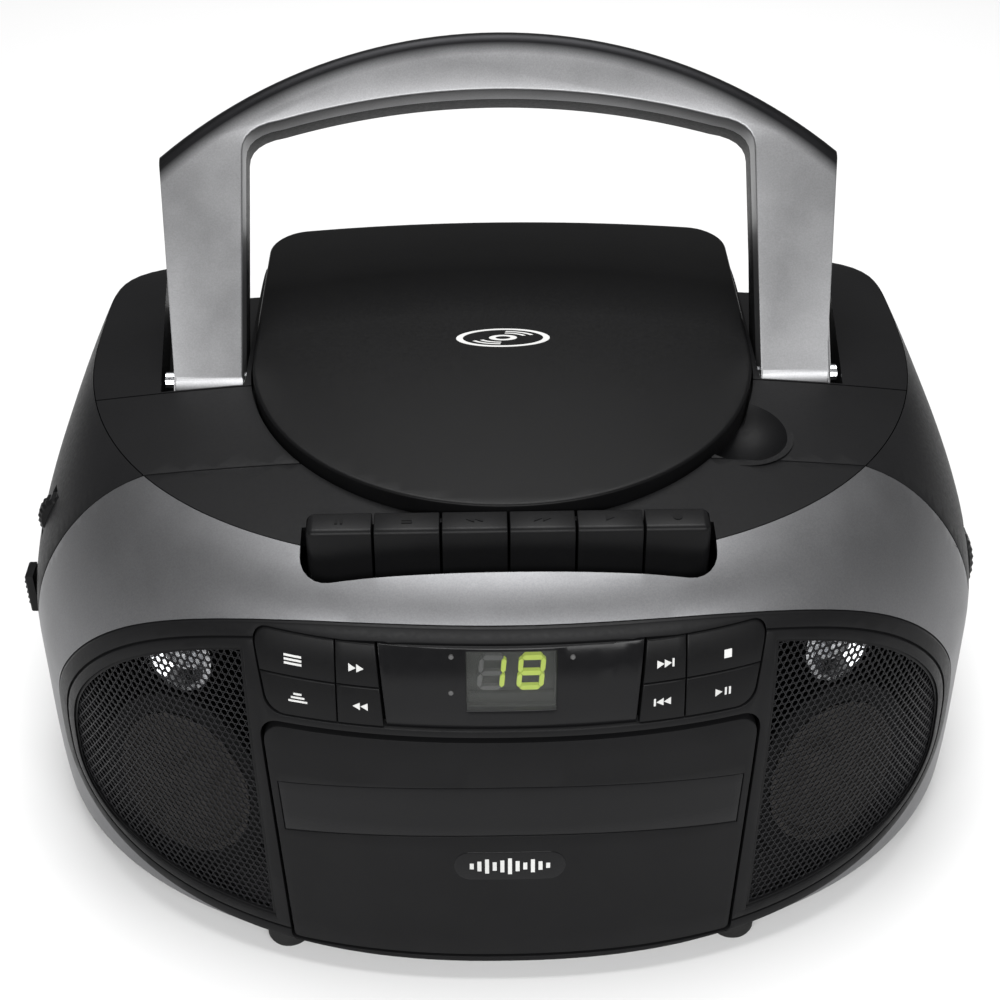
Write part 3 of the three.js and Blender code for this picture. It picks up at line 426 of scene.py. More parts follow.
def textured_plastic(name, colour, roughness, grain, depth, shine=0.11):
    finish = Finish(name, colour, roughness)
    finish.tint(finish.noise(45, 4), 0.92, 1.08).rough(finish.noise(grain / 3, 3), 0.05)
    finish.bump(finish.noise(grain, 2, 0.6), depth, 0.6).set(Specular_IOR_Level=shine)
    return finish.material


def gloss_plastic():
    finish = Finish("polished black acrylic", (0.006, 0.006, 0.0065), 0.2)
    finish.tint(finish.noise(40, 2), 0.95, 1.05).rough(finish.noise(300, 3), 0.03)
    finish.set(Specular_IOR_Level=0.16)
    return finish.material


def clear_plastic():
    finish = Finish("smoked clear acrylic", (0.10, 0.105, 0.10), 0.06)
    finish.tint(finish.noise(80, 2), 0.97, 1.0).set(Alpha=0.16, IOR=1.49)
    return finish.material


def bright_metal(name="bright plated steel", colour=(0.66, 0.67, 0.69), roughness=0.22):
    finish = Finish(name, colour, roughness, 1.0)
    finish.tint(finish.noise(900, 3), 0.94, 1.05).rough(finish.noise(1400, 3), 0.06)
    return finish.material


def glowing(name, colour, strength):
    finish = Finish(name, colour, 0.4)
    finish.tint(finish.noise(700, 2), 0.97, 1.03)
    finish.shader.inputs["Emission Color"].default_value = (*colour, 1)
    finish.set(Emission_Strength=strength)
    return finish.material


def paper():
    finish = Finish("pressed paper cone", (0.035, 0.032, 0.03), 0.9)
    finish.tint(finish.noise(260, 4), 0.7, 1.35).bump(finish.noise(900, 4), 0.0001)
    return finish.material


def board_green():
    finish = Finish("green circuit board", (0.02, 0.10, 0.045), 0.35)
    finish.tint(finish.noise(120, 3), 0.8, 1.2).rough(finish.noise(400, 2), 0.08)
    return finish.material


LOOK = {
    "silver": metallic_paint(),
    # the handle's paint, with painted shade along the crown's rounded outer edge
    "handle": handle_paint_with_painted_shade(),
    "cabinet": textured_plastic("fine textured black cabinet", (0.008, 0.008, 0.0085), 0.46, 2400, 0.00003),
    "deck": textured_plastic("fine textured black deck", (0.004, 0.004, 0.0044), 0.50, 2600, 0.00003),
    "lid": textured_plastic("satin black lid", (0.003, 0.003, 0.0032), 0.40, 3000, 0.00001),
    "bezel": textured_plastic("satin black bezel", (0.006, 0.006, 0.0064), 0.42, 2600, 0.00002),
    "key": textured_plastic("satin black keys", (0.005, 0.005, 0.0053), 0.38, 3000, 0.00001),
    "dark": textured_plastic("dark well plastic", (0.008, 0.008, 0.009), 0.6, 2000, 0.00002),
    "rubber": textured_plastic("black rubber", (0.018, 0.018, 0.018), 0.75, 1600, 0.00006),
    "gloss": gloss_plastic(),
    "clear": clear_plastic(),
    "steel": bright_metal(),
    "mesh": textured_plastic("black painted steel mesh", (0.010, 0.010, 0.011), 0.34, 1800, 0.00001),
    "print": textured_plastic("white printed symbols", (0.55, 0.55, 0.54), 0.5, 2000, 0.00001),
    "grey print": textured_plastic("unlit display segments", (0.09, 0.09, 0.09), 0.5, 2000, 0.00001),
    "well grey": textured_plastic("grey display backing", (0.022, 0.023, 0.021), 0.45, 1500, 0.00001),
    "lamp": glowing("lit display segments", (0.36, 0.46, 0.06), 0.55),
    "cone": paper(),
    "board": board_green(),
}


# ------------------------------------------------------------------ casings
def body_form(inset=0):
    """The body's outer form as one closed solid, drawn in by inset."""
    low, high = FOOT_HEIGHT + inset, CREASE_Z - inset
    bend = [math.pi / 2 * i / 6 for i in range(7)]
    profile = [(0, low), (0.5, low), (0.85, low)]
    profile += [(0.965 + 0.035 * math.sin(t), low + 5 * (1 - math.cos(t))) for t in bend]
    levels = 46
    profile += [(1, low + 5 + (high - low - 5) * i / levels) for i in range(1, levels + 1)]
    for scale in (0.97, 0.93, 0.88, 0.8, 0.7, 0.6, 0.5, 0.35, 0.2, 0):
        profile.append((scale, high + DECK_CROWN * (1 - scale ** 2)))
    bm = spun(profile, 240)
    for vertex in bm.verts:
        x, y, z = vertex.co
        vertex.co.xy = on_section(min(z, high), math.atan2(y, x), math.hypot(x, y), inset)
    return spare(bm)


def crease_face(inset):
    return ring_face(lambda angle: on_section(CREASE_Z, angle, 1, inset), 240)


BEZEL = {"half": 146, "middle": 47, "top": 118.5, "bottom": 7.2}


def power(value, exponent):
    return math.copysign(abs(value) ** exponent, value)


def bezel_face(inset, count=200):
    def point(angle):
        above = math.sin(angle) > 0
        rise = (BEZEL["top"] - BEZEL["middle"] if above else BEZEL["middle"] - BEZEL["bottom"]) - inset
        across = (BEZEL["half"] - inset) * power(math.cos(angle), 2 / 3)
        return across, BEZEL["middle"] + rise * power(math.sin(angle), 2 / 2.1 if above else 2 / 3.4)
    return ring_face(point, count)


def lid_face(grow, segments=40):
    r = LID_RADIUS + grow
    rear = LID_REAR + grow
    front = LID_Y - r
    bm = bmesh.new()
    corners = [bm.verts.new((x, y, 0)) for x, y in ((-r, front), (r, front), (r, rear), (-r, rear))]
    bm.faces.new(corners)
    for corner, radius, steps in zip(corners, (r - 0.02, r - 0.02, 13, 13), (segments, segments, 10, 10)):
        bmesh.ops.bevel(bm, geom=[corner], offset=radius, affect="VERTICES", segments=steps, profile=0.5,
                        material=-1)
    return bm


SLOT = {"inner": 84.8, "inner_rear": 83.2, "outer": 112.5, "outer_rear": 122.5, "wall": 1.5,
        "floor": 113.5, "front": 20.8, "bend": 100}


def slot_face(side, grow):
    corners = [(SLOT["inner"] - grow, SLOT["front"] - grow), (SLOT["outer"] + grow, SLOT["front"] - grow),
               (SLOT["outer_rear"] + grow, REAR_Y), (SLOT["outer_rear"] + grow, 2 * REAR_Y),
               (SLOT["inner_rear"] - grow, 2 * REAR_Y), (SLOT["inner_rear"] - grow, REAR_Y),
               (SLOT["inner"] - grow, SLOT["bend"])]
    return rounded([(side * x, y) for x, y in corners][::side])


KEY = {"pitch": 19.85, "gap": 0.7, "rear": -51.5, "front": -60.5, "foot": -62.1, "top": 135, "tall": 25}
POCKET_FRONT = -70.5


def key_pocket():
    half = 3 * KEY["pitch"] + 1.6
    rear = KEY["rear"] + PLAY
    return column(rounded([(-half, rear), (-half, POCKET_FRONT, 9), (half, POCKET_FRONT, 9),
                           (half, rear)]), KEY["top"] - KEY["tall"] - 8, 160)


WHEEL = {"radius": 10, "thick": 6, "proud": 2.2, "y": -2, "z": 97, "bore": 2}
DIAL = {"radius": 30, "thick": 7, "proud": 2, "y": -4, "z": 72, "bore": 3}
SLIDER = {"width": 8, "tall": 15, "proud": 3.6, "travel": 5, "slot": 7, "stem": 3}
SWITCHES = {"function_switch": (-1, -4, 69), "band_switch": (1, 52, 74)}


def side_slot(side, y, z, half_width, half_height):
    inner, outer = HALF_CABINET - 25, HALF_CABINET + 10
    xs = sorted((side * inner, side * outer))
    return spare(block(*xs, y - half_width, y + half_width, z - half_height, z + half_height))


def wheel_slot(side, wheel):
    reach = wheel["thick"] / 2 + PLAY
    hole = bar("Y", wheel["radius"] + PLAY, wheel["y"] - reach, wheel["y"] + reach, 80)
    across = side_skin(wheel["y"], wheel["z"]) + wheel["proud"] - wheel["radius"]
    return spare(shifted(hole, side * across, 0, wheel["z"]))


def slider_slot(name):
    side, y, z = SWITCHES[name]
    reach = SLIDER["travel"] + SLIDER["slot"] / 2 + PLAY
    return side_slot(side, y, z, SLIDER["stem"] / 2 + PLAY, reach)


BATTERY = {"half": 80, "low": 14, "high": 68, "lift": 1.2}
INLET = {"x": -112, "z": 34, "width": 20, "tall": 12}
JACK = {"x": 112, "z": 34, "radius": 6}
ANTENNA = {"x": 74, "z": 104, "tilt": math.radians(20), "barrel": 4.6, "radius": 1.8}


def antenna_place(bm):
    """Puts a piece made round the antenna's own pivot, its axle along Y, in place on the back."""
    bmesh.ops.rotate(bm, verts=bm.verts, cent=(0, 0, 0), matrix=Matrix.Rotation(-ANTENNA["tilt"], 3, "X"))
    return shifted(bm, ANTENNA["x"], REAR_Y + GAP + ANTENNA["radius"], ANTENNA["z"])


def bar(axis, radius, low, high, sides=48):
    bm = spun([(0, low), (radius, low), (radius, high), (0, high)], sides)
    if axis == "X":
        bmesh.ops.rotate(bm, verts=bm.verts, cent=(0, 0, 0), matrix=Matrix.Rotation(math.pi / 2, 3, "Y"))
    if axis == "Y":
        bmesh.ops.rotate(bm, verts=bm.verts, cent=(0, 0, 0), matrix=Matrix.Rotation(-math.pi / 2, 3, "X"))
    return bm


def seam_edge(bm, place, axis=1, width=0.35):
    """Rounds the sharp edges that lie on one level plane, such as where two casings meet."""
    def chosen(edge):
        return all(abs(v.co[axis] - place) < 0.02 for v in edge.verts)
    return soften(bm, width, chosen, segments=2, angle=50)


def vents():
    """Slots through the back, in two blocks."""
    cutters = bmesh.new()
    for side in (-1, 1):
        for i in range(7):
            slot = block(side * 55 - 16, side * 55 + 16, 100, 125, 74 + 3.4 * i, 75.4 + 3.4 * i)
            added(cutters, slot)
    return spare(cutters)


def cabinets():
    shell = combined(body_form(), body_form(WALL))
    case = combined(copied(shell), column(crease_face(-GAP / 2), CREASE_Z - WALL - 1, 160))
    for side, wheel in ((-1, WHEEL), (1, DIAL)):
        case = combined(case, wheel_slot(side, wheel))
    case = without(case, slider_slot("function_switch"))
    front = combined(copied(case), spare(block(-200, 200, -200, PART_Y - GAP / 2, 0, 200)), "INTERSECT")
    rim = through(bezel_face(-GAP), -140, skin(BEZEL["half"], BEZEL["middle"]) + 12)
    front = back_to_bmesh(without(front, rim, key_pocket()))
    piece("front_cabinet_shell", seam_edge(front, PART_Y - GAP / 2), LOOK["silver"], "case",
          "charcoal_cabinet", ["front_cabinet"])
    rear = combined(case, spare(block(-200, 200, PART_Y + GAP / 2, 200, 0, 200)), "INTERSECT")
    rear = without(
        rear, column(lid_face(PLAY), 100, 160),
        column(slot_face(-1, SLOT["wall"] + GAP), SLOT["floor"] - SLOT["wall"] - GAP, 160),
        column(slot_face(1, SLOT["wall"] + GAP), SLOT["floor"] - SLOT["wall"] - GAP, 160),
        spare(block(-BATTERY["half"] - GAP, BATTERY["half"] + GAP, 80, 130, BATTERY["low"] - GAP,
                    BATTERY["high"] + BATTERY["lift"])),
        spare(block(*inlet_box(GAP))), spare(jack_bar(GAP)),
        spare(antenna_place(bar("Y", ANTENNA["barrel"] + GAP, -15, 8))), slider_slot("band_switch"), vents())
    rear = seam_edge(back_to_bmesh(rear), PART_Y + GAP / 2)
    piece("rear_cabinet_shell", rear, LOOK["cabinet"], "case", "black_cabinet", ["rear_cabinet"])
    deck = combined(shell, column(crease_face(GAP / 2), CREASE_Z - WALL - 1 + GAP, 160), "INTERSECT")
    return combined(deck, column(lid_face(PLAY), 100, 160))


def inlet_box(grow, depth=15, out=1.0):
    face = rear_skin(INLET["x"], INLET["z"])
    w, h = INLET["width"] / 2 + grow, INLET["tall"] / 2 + grow
    return (INLET["x"] - w, INLET["x"] + w, face - depth - grow, face + out + 30 * grow, INLET["z"] - h,
            INLET["z"] + h)


def jack_bar(grow):
    face = rear_skin(JACK["x"], JACK["z"])
    return shifted(bar("Y", JACK["radius"] + grow, face - 14 - grow, face + 1 + 30 * grow), JACK["x"], 0,
                   JACK["z"])


WELL_FLANGE = 122
SCOOP = Vector((75, -9, 145))


def decks(deck):
    half = 3 * KEY["pitch"] + 1.6 + 8
    bridge = block(-half, half, KEY["rear"] + PLAY, KEY["rear"] + PLAY + 5, WELL_FLANGE, CREASE_Z)
    front = combined(copied(deck), spare(block(-200, 200, -200, PART_Y - GAP / 2, 0, 200)), "INTERSECT")
    front = combined(combined(front, key_pocket()), spare(bridge), "UNION")
    piece("front_deck_panel", seam_edge(back_to_bmesh(front), PART_Y - GAP / 2), LOOK["deck"], "case",
          "black_deck", ["front_deck"])
    behind = block(-200, 200, PART_Y + GAP / 2, 200, 0, 200)
    ledge = combined(column(lid_face(PLAY + 2), 124.7, 127.1), column(lid_face(-6), 0, 200))
    rear = combined(combined(deck, ledge, "UNION"), spare(behind), "INTERSECT")
    seam = combined(spare(block(-200, 200, DECK_SEAM_Y - GAP, DECK_SEAM_Y + GAP, CREASE_Z - 0.6, 200)),
                    body_form(0.7))
    rear = without(rear, seam)
    inside = body_form(GAP)
    for side in (-1, 1):
        trough = combined(column(slot_face(side, SLOT["wall"]), SLOT["floor"] - SLOT["wall"], 160),
                          copied(inside), "INTERSECT")
        rear = combined(combined(rear, trough, "UNION"), column(slot_face(side, 0), SLOT["floor"], 170))
    bpy.data.objects.remove(inside)
    rear = scooped(rear)
    piece("rear_deck_panel", seam_edge(back_to_bmesh(rear), PART_Y + GAP / 2), LOOK["deck"], "case",
          "black_deck", ["rear_deck"])


def scooped(rear):
    """The finger dip beside the lid, with a bowl under it."""
    def ball(radius):
        bm = bmesh.new()
        bmesh.ops.create_uvsphere(bm, u_segments=64, v_segments=48, radius=radius)
        return spare(shifted(bm, *SCOOP))
    bowl = combined(ball(21.5), spare(block(0, 200, -50, 50, 131, 200)))
    bowl = combined(bowl, column(lid_face(PLAY), 0, 200))
    return combined(combined(rear, bowl, "UNION"), ball(20))


# ------------------------------------------------------------------ the front
DOOR = {"top_half": 73.5, "base_half": 67.8, "top": 85.2, "base": 9.6, "corner": 6, "thick": 3.4,
        "lift": 1.8}
PANEL = {"top": 113.8, "base": 89.4, "top_half": 38.4, "base_half": 36.4}
WINDOW = {"half": 13, "top": 112.6, "base": 95}
KEYPAD = {"outer_top": 75.2, "outer_base": 71.2, "split": 50.6, "row": 101.6, "corner": 5, "depth": 5}
GRILLE = {"margin": 6.3, "inner_top": 78.5, "inner_base": 73}
BAND = {"top": 66.3, "base": 49.3, "arch": 3.6, "top_half": 69.8, "base_half": 68.5}


def door_face(grow, lift):
    return rounded([(-DOOR["base_half"] - grow, DOOR["base"] - grow, 1.5),
                    (DOOR["base_half"] + grow, DOOR["base"] - grow, 1.5),
                    (DOOR["top_half"] + grow, DOOR["top"] + lift, DOOR["corner"]),
                    (-DOOR["top_half"] - grow, DOOR["top"] + lift, DOOR["corner"])])


def four_sided(top, base, top_half, base_half, grow=0):
    return rounded([(-base_half - grow, base - grow), (base_half + grow, base - grow),
                    (top_half + grow, top + grow), (-top_half - grow, top + grow)])


def panel_face(grow):
    return four_sided(PANEL["top"], PANEL["base"], PANEL["top_half"], PANEL["base_half"], grow)


def window_face(grow):
    return four_sided(WINDOW["top"], WINDOW["base"], WINDOW["half"], WINDOW["half"], grow)


def pad_face(side, grow):
    corners = [(-KEYPAD["outer_top"] - grow, PANEL["top"] - 0.5 + grow, KEYPAD["corner"]),
               (-KEYPAD["outer_base"] - grow, PANEL["base"] - grow, KEYPAD["corner"]),
               (-PANEL["base_half"], PANEL["base"] - grow), (-PANEL["top_half"], PANEL["top"] + grow)]
    return rounded([(side * -x, *rest) for x, *rest in corners][::side])


def grille_form(side, grow, near=-140, far=-20):
    """A speaker opening: the bezel's border drawn in and cut off by its inner edge, corners eased."""
    half, top, bottom = BEZEL["half"] + 5, BEZEL["top"], BEZEL["bottom"]
    corners = [(GRILLE["inner_top"] - grow, top), (GRILLE["inner_base"] - grow, bottom), (half, bottom),
               (half, top)]
    cut = through(rounded([(side * x, z) for x, z in corners][::-side]), near, far)
    return combined(through(bezel_face(GRILLE["margin"] - grow), near, far), cut, "INTERSECT")


def band_face(grow, steps=24):
    def arch(half, level):
        xs = [half - 2 * half * i / steps for i in range(steps + 1)]
        return [(x, level + BAND["arch"] * (1 - (x / half) ** 2)) for x in xs]
    upper = arch(BAND["top_half"] + grow, BAND["top"] + grow)
    lower = arch(BAND["base_half"] + grow, BAND["base"] - grow)
    return rounded(upper + lower[::-1])


def tidy_flat(bm):
    bmesh.ops.dissolve_limit(bm, angle_limit=math.radians(0.6), verts=bm.verts, edges=bm.edges)
    return bm


def bezel():
    front, back = -0.8, 3.2
    plate = through(bezel_face(0), front, back)
    groove = combined(through(bezel_face(3.3), -10, 0.3), through(bezel_face(3.9), -10, 0.3))
    plate = without(plate, groove)
    plate = without(plate, through(door_face(PLAY, DOOR["lift"]), -10, 10),
                    through(panel_face(GAP), -10, 10),
                    grille_form(-1, 0, -10, 10), grille_form(1, 0, -10, 10),
                    through(pad_face(-1, GAP), -10, 10), through(pad_face(1, GAP), -10, 10))
    plate = soften(tidy_flat(back_to_bmesh(plate)), 0.3, in_front, segments=2)
    piece("front_bezel_plate", on_skin(plate), LOOK["bezel"], "case", "black_bezel", ["front_bezel"])


def mesh_sheet(side):
    """Perforated sheet: rows of six-sided cells, each with a six-sided hole."""
    pitch, hole = 2.15, 0.78
    row = pitch * math.sqrt(3) / 2
    sheet = bmesh.new()
    outline = back_to_bmesh(grille_form(side, 1.2, -1, 1))
    border = [v.co.xz for v in outline.verts if v.co.y < 0]
    outline.free()
    middle = sum(border, Vector((0, 0))) / len(border)
    border.sort(key=lambda p: math.atan2(p.y - middle.y, p.x - middle.x))

    def inside(x, z):
        hit = False
        for a, b in zip(border, border[1:] + border[:1]):
            if (a.y > z) != (b.y > z) and x < a.x + (z - a.y) / (b.y - a.y) * (b.x - a.x):
                hit = not hit
        return hit
    cell = bmesh.new()
    bmesh.ops.create_circle(cell, segments=6, radius=pitch / math.sqrt(3))
    edges = bmesh.ops.extrude_edge_only(cell, edges=cell.edges[:])["geom"]
    drawn = [item for item in edges if isinstance(item, bmesh.types.BMVert)]
    bmesh.ops.scale(cell, verts=drawn, vec=(hole, hole, 1))
    bmesh.ops.rotate(cell, verts=cell.verts, cent=(0, 0, 0), matrix=Matrix.Rotation(math.pi / 6, 3, "Z"))
    template = bpy.data.meshes.new("cell")
    cell.to_mesh(template)
    cell.free()
    left = min(p.x for p in border)
    low = min(p.y for p in border)
    columns = int((max(p.x for p in border) - left) / pitch) + 2
    rows = int((max(p.y for p in border) - low) / row) + 2
    for j in range(rows):
        for i in range(columns):
            x = left + (i + 0.5 * (j % 2)) * pitch
            z = low + j * row
            if not inside(x, z):
                continue
            start = len(sheet.verts)
            sheet.from_mesh(template)
            sheet.verts.ensure_lookup_table()
            bmesh.ops.translate(sheet, verts=sheet.verts[start:], vec=(x, z, 0))
    bpy.data.meshes.remove(template)
    bmesh.ops.remove_doubles(sheet, verts=sheet.verts, dist=0.02)
    turned_forward(sheet)
    for vertex in sheet.verts:
        vertex.co.y += skin(vertex.co.x, vertex.co.z) + 1.0
    for face in sheet.faces:
        if face.normal.y > 0:
            face.normal_flip()
    return sheet


def grilles():
    for side, word in ((-1, "left"), (1, "right")):
        sheet = piece(f"{word}_perforated_grille", mesh_sheet(side), LOOK["mesh"], "case", "grille_mesh",
                      [f"{word}_grille"])
        wall = sheet.modifiers.new("sheet thickness", "SOLIDIFY")
        wall.thickness = 0.5 * MM
        wall.offset = -1
        trim = combined(grille_form(side, -0.05, 0.2, 1.6), grille_form(side, -1.0, -1, 3))
        piece(f"{word}_grille_rim", on_skin(tidy_flat(back_to_bmesh(trim)), 3), LOOK["bezel"], "case",
              "black_bezel")


def cassette_door():
    plate = through(door_face(0, 0), -0.6, DOOR["thick"] - 0.6)
    plate = without(plate, through(band_face(0), -10, 0.7))
    plate = soften(tidy_flat(back_to_bmesh(plate)), 0.35, in_front, segments=2)
    on_skin(plate)
    for side in (-1, 1):
        cheek = sorted((side * 54, side * 56))
        added(plate, on_skin(block(*cheek, 2, 14, 15, 70)))
    added(plate, on_skin(block(-54, 54, 2, 17, 15, 17)))
    piece("cassette_door_plate", plate, LOOK["bezel"], "cassette_door", "black_bezel",
          ["cassette_door"])
    strip = turned_forward(raised(band_face(-0.15), -0.35, 1.2))
    soften(tidy_flat(strip), 0.25, in_front, segments=2)
    piece("cassette_window_strip", on_skin(strip), LOOK["gloss"], "cassette_door", "smoked_window",
          ["cassette_window"])
    badge()


def badge():
    """A pill with a row of level bars, on the lower part of the door."""
    pill = rounded([(-17.6, 37.6, 5.2), (16.2, 37.6, 5.2), (16.2, 47.4, 5.2), (-17.6, 47.4, 5.2)], 10)
    pill = turned_forward(raised(pill, -0.75, 0.4))
    piece("door_badge", on_skin(soften(pill, 0.2, in_front)), LOOK["gloss"], "cassette_door",
          "smoked_window")
    marks = bmesh.new()
    for i, tall in enumerate((2, 3.4, 5, 3, 4.2, 5.6, 3.6, 2.4, 4.6, 3, 1.8)):
        x = -12.2 + 2.3 * i
        added(marks, block(x - 0.6, x + 0.6, -0.83, -0.3, 42.5 - tall / 2, 42.5 + tall / 2))
    piece("door_badge_bars", on_skin(marks, 8), LOOK["print"], "cassette_door", "smoked_window")


def buttons():
    """Two by two cells at each side of the display, each with its own symbol."""
    columns = {"narrow": (-KEYPAD["split"] + GAP / 2, 0), "wide": (-200, -KEYPAD["split"] - GAP / 2)}
    rows = {"upper": (KEYPAD["row"] + GAP / 2, 200), "lower": (0, KEYPAD["row"] - GAP / 2)}
    for side, word in ((-1, "left"), (1, "right")):
        for column_name, (x0, x1) in columns.items():
            for row_name, (z0, z1) in rows.items():
                form = through(pad_face(side, -GAP * 0.4), -0.6, KEYPAD["depth"])
                xs = sorted((-side * x0, -side * x1))
                form = combined(form, spare(block(*xs, -20, 20, z0, z1)), "INTERSECT")
                form = without(form, through(panel_face(0.6), -20, 20))
                body = BUTTON_BODIES[(word, column_name, row_name)]
                form = soften(tidy_flat(back_to_bmesh(form)), 0.45, in_front, segments=3)
                piece(f"{body}_cap", on_skin(form), LOOK["key"], body, "black_button", [body])
                button_symbol(body, *BUTTON_SYMBOLS[body])


BUTTON_BODIES = {
    ("left", "wide", "upper"): "program_button", ("right", "wide", "upper"): "stop_button",
    ("left", "wide", "lower"): "repeat_button", ("right", "wide", "lower"): "play_pause_button",
    ("left", "narrow", "upper"): "folder_up_button", ("right", "narrow", "upper"): "skip_next_button",
    ("left", "narrow", "lower"): "folder_down_button", ("right", "narrow", "lower"): "skip_back_button",
}
BUTTON_SYMBOLS = {
    "program_button": ("list", -63, 106.5), "stop_button": ("stop", 63, 106.5),
    "repeat_button": ("steps", -62, 95.5), "play_pause_button": ("play_pause", 62, 95.5),
    "folder_up_button": ("forward", -44.5, 107), "skip_next_button": ("next", 44.5, 107),
    "folder_down_button": ("rewind", -43.7, 95.5), "skip_back_button": ("previous", 43.7, 95.5),
}


def symbol_parts(kind, size=1.0):
    """Flat outlines, in X and Z about the symbol's centre."""
    s = size
    right = [(-1.1 * s, -1.2 * s), (1.1 * s, 0), (-1.1 * s, 1.2 * s)]
    left = [(-x, z) for x, z in right][::-1]

    def moved(points, dx):
        return [(x + dx, z) for x, z in points]

    def bar_at(x, half=0.3):
        return [(x - half, -1.2 * s), (x + half, -1.2 * s), (x + half, 1.2 * s), (x - half, 1.2 * s)]

    def level(z, reach):
        return [(-reach, z - 0.28), (reach, z - 0.28), (reach, z + 0.28), (-reach, z + 0.28)]
    return {
        "play": [right],
        "forward": [moved(right, -1.2 * s), moved(right, 1.2 * s)],
        "rewind": [moved(left, -1.2 * s), moved(left, 1.2 * s)],
        "next": [moved(right, -1.6 * s), moved(right, 0.7 * s), bar_at(2.3 * s)],
        "previous": [bar_at(-2.3 * s), moved(left, -0.7 * s), moved(left, 1.6 * s)],
        "stop": [[(-1.2 * s, -1.2 * s), (1.2 * s, -1.2 * s), (1.2 * s, 1.2 * s), (-1.2 * s, 1.2 * s)]],
        "play_pause": [moved(right, -1.5 * s), bar_at(0.7 * s), bar_at(2.0 * s)],
        "pause": [bar_at(-0.7 * s, 0.35 * s), bar_at(0.7 * s, 0.35 * s)],
        "record": [[(1.3 * s * math.cos(i * math.pi / 8), 1.3 * s * math.sin(i * math.pi / 8))
                    for i in range(16)]],
        "eject": [[(-1.4 * s, -0.2 * s), (1.4 * s, -0.2 * s), (0, 1.4 * s)],
                  [(-1.4 * s, -1.3 * s), (1.4 * s, -1.3 * s), (1.4 * s, -0.7 * s), (-1.4 * s, -0.7 * s)]],
        "list": [level(-1.1, 2.6), level(0, 2.6), level(1.1, 2.6)],
        "steps": [level(-1.1, 2.8), level(0, 2.0), level(1.1, 1.2)],
    }[kind]


def symbol_form(kind, x, z, size, near, far):
    """A symbol as low prisms that face forward."""
    marks = bmesh.new()
    for outline in symbol_parts(kind, size):
        flat = rounded([(x + px, z + pz) for px, pz in outline])
        added(marks, turned_forward(raised(flat, near, far)))
    return marks


def button_symbol(body, kind, x, z):
    marks = symbol_form(kind, x, z, 0.95, -0.68, -0.3)
    piece(f"{body}_symbol", on_skin(marks, 8), LOOK["print"], body, "black_button")


def display():
    """A gloss panel with a window, a backing, lit figures and small lamps."""
    plate = without(through(panel_face(-GAP * 0.3), 0.4, 2.8), through(window_face(0), -5, 8))
    plate = soften(tidy_flat(back_to_bmesh(plate)), 0.3, in_front, segments=2)
    piece("display_fascia", on_skin(plate), LOOK["gloss"], "case", "gloss_panel", ["display_panel"])
    pane = turned_forward(raised(window_face(-0.1), 0.6, 1.5))
    piece("display_pane", on_skin(pane), LOOK["clear"], "case", "smoked_window",
          ["display_window"])
    tub = combined(through(window_face(0.6), 2.4, 7), through(window_face(-0.4), 0, 5.2))
    piece("display_backing", on_skin(tidy_flat(back_to_bmesh(tub))), LOOK["well grey"], "case",
          "smoked_window")
    ledge = block(-12.4, 12.4, 3.4, 5.2, 95.6, 98.4)
    piece("display_ledge", on_skin(soften(ledge, 0.3, None)), LOOK["well grey"], "case", "smoked_window")
    digits()
    lamps = bmesh.new()
    for x, z in ((-17.2, 111.2), (-17.4, 100.7), (17.6, 110.7)):
        lamp = spun([(0, -0.2), (0.75, -0.2), (0.75, 0.4), (0.5, 0.75), (0, 0.85)], 20)
        bmesh.ops.rotate(lamp, verts=lamp.verts, cent=(0, 0, 0), matrix=Matrix.Rotation(math.pi / 2, 3, "X"))
        added(lamps, shifted(lamp, x, skin(x, z) + 0.7, z))
    piece("display_lamps", lamps, LOOK["grey print"], "case", "smoked_window")


def digits():
    """Two seven-part figures that lean a little, some parts lit."""
    wide, tall, thick = 7.8, 10.4, 1.35
    spots = {"top": (0, 1, "across"), "middle": (0, 0, "across"), "base": (0, -1, "across"),
             "upper_left": (-1, 0.5, "up"), "upper_right": (1, 0.5, "up"),
             "lower_left": (-1, -0.5, "up"), "lower_right": (1, -0.5, "up")}
    lit = {-5.6: {"upper_right", "lower_right"}, 5.8: set(spots)}
    for word, look, wanted in (("lit", "lamp", True), ("unlit", "grey print", False)):
        marks = bmesh.new()
        for centre, on in lit.items():
            for spot, (right, up, way) in spots.items():
                if (spot in on) != wanted:
                    continue
                long = (wide - thick) / 2 - 0.25 if way == "across" else (tall - thick) / 4 - 0.2
                tip = thick / 2
                bar_shape = [(-long, 0), (-long + tip, -tip), (long - tip, -tip), (long, 0),
                             (long - tip, tip), (-long + tip, tip)]
                if way == "up":
                    bar_shape = [(z, x) for x, z in bar_shape][::-1]
                cx = right * (wide - thick) / 2
                cz = up * (tall - thick) / 2
                shape = [(centre + cx + px + 0.10 * (cz + pz), 104.3 + cz + pz) for px, pz in bar_shape]
                depth = 3.9 if wanted else 4.0
                added(marks, turned_forward(raised(rounded(shape), depth, 5.4)))
        piece(f"{word}_figures", on_skin(marks, 6), LOOK[look], "case", "lit_digits",
              ["digit_display"] if wanted else ())


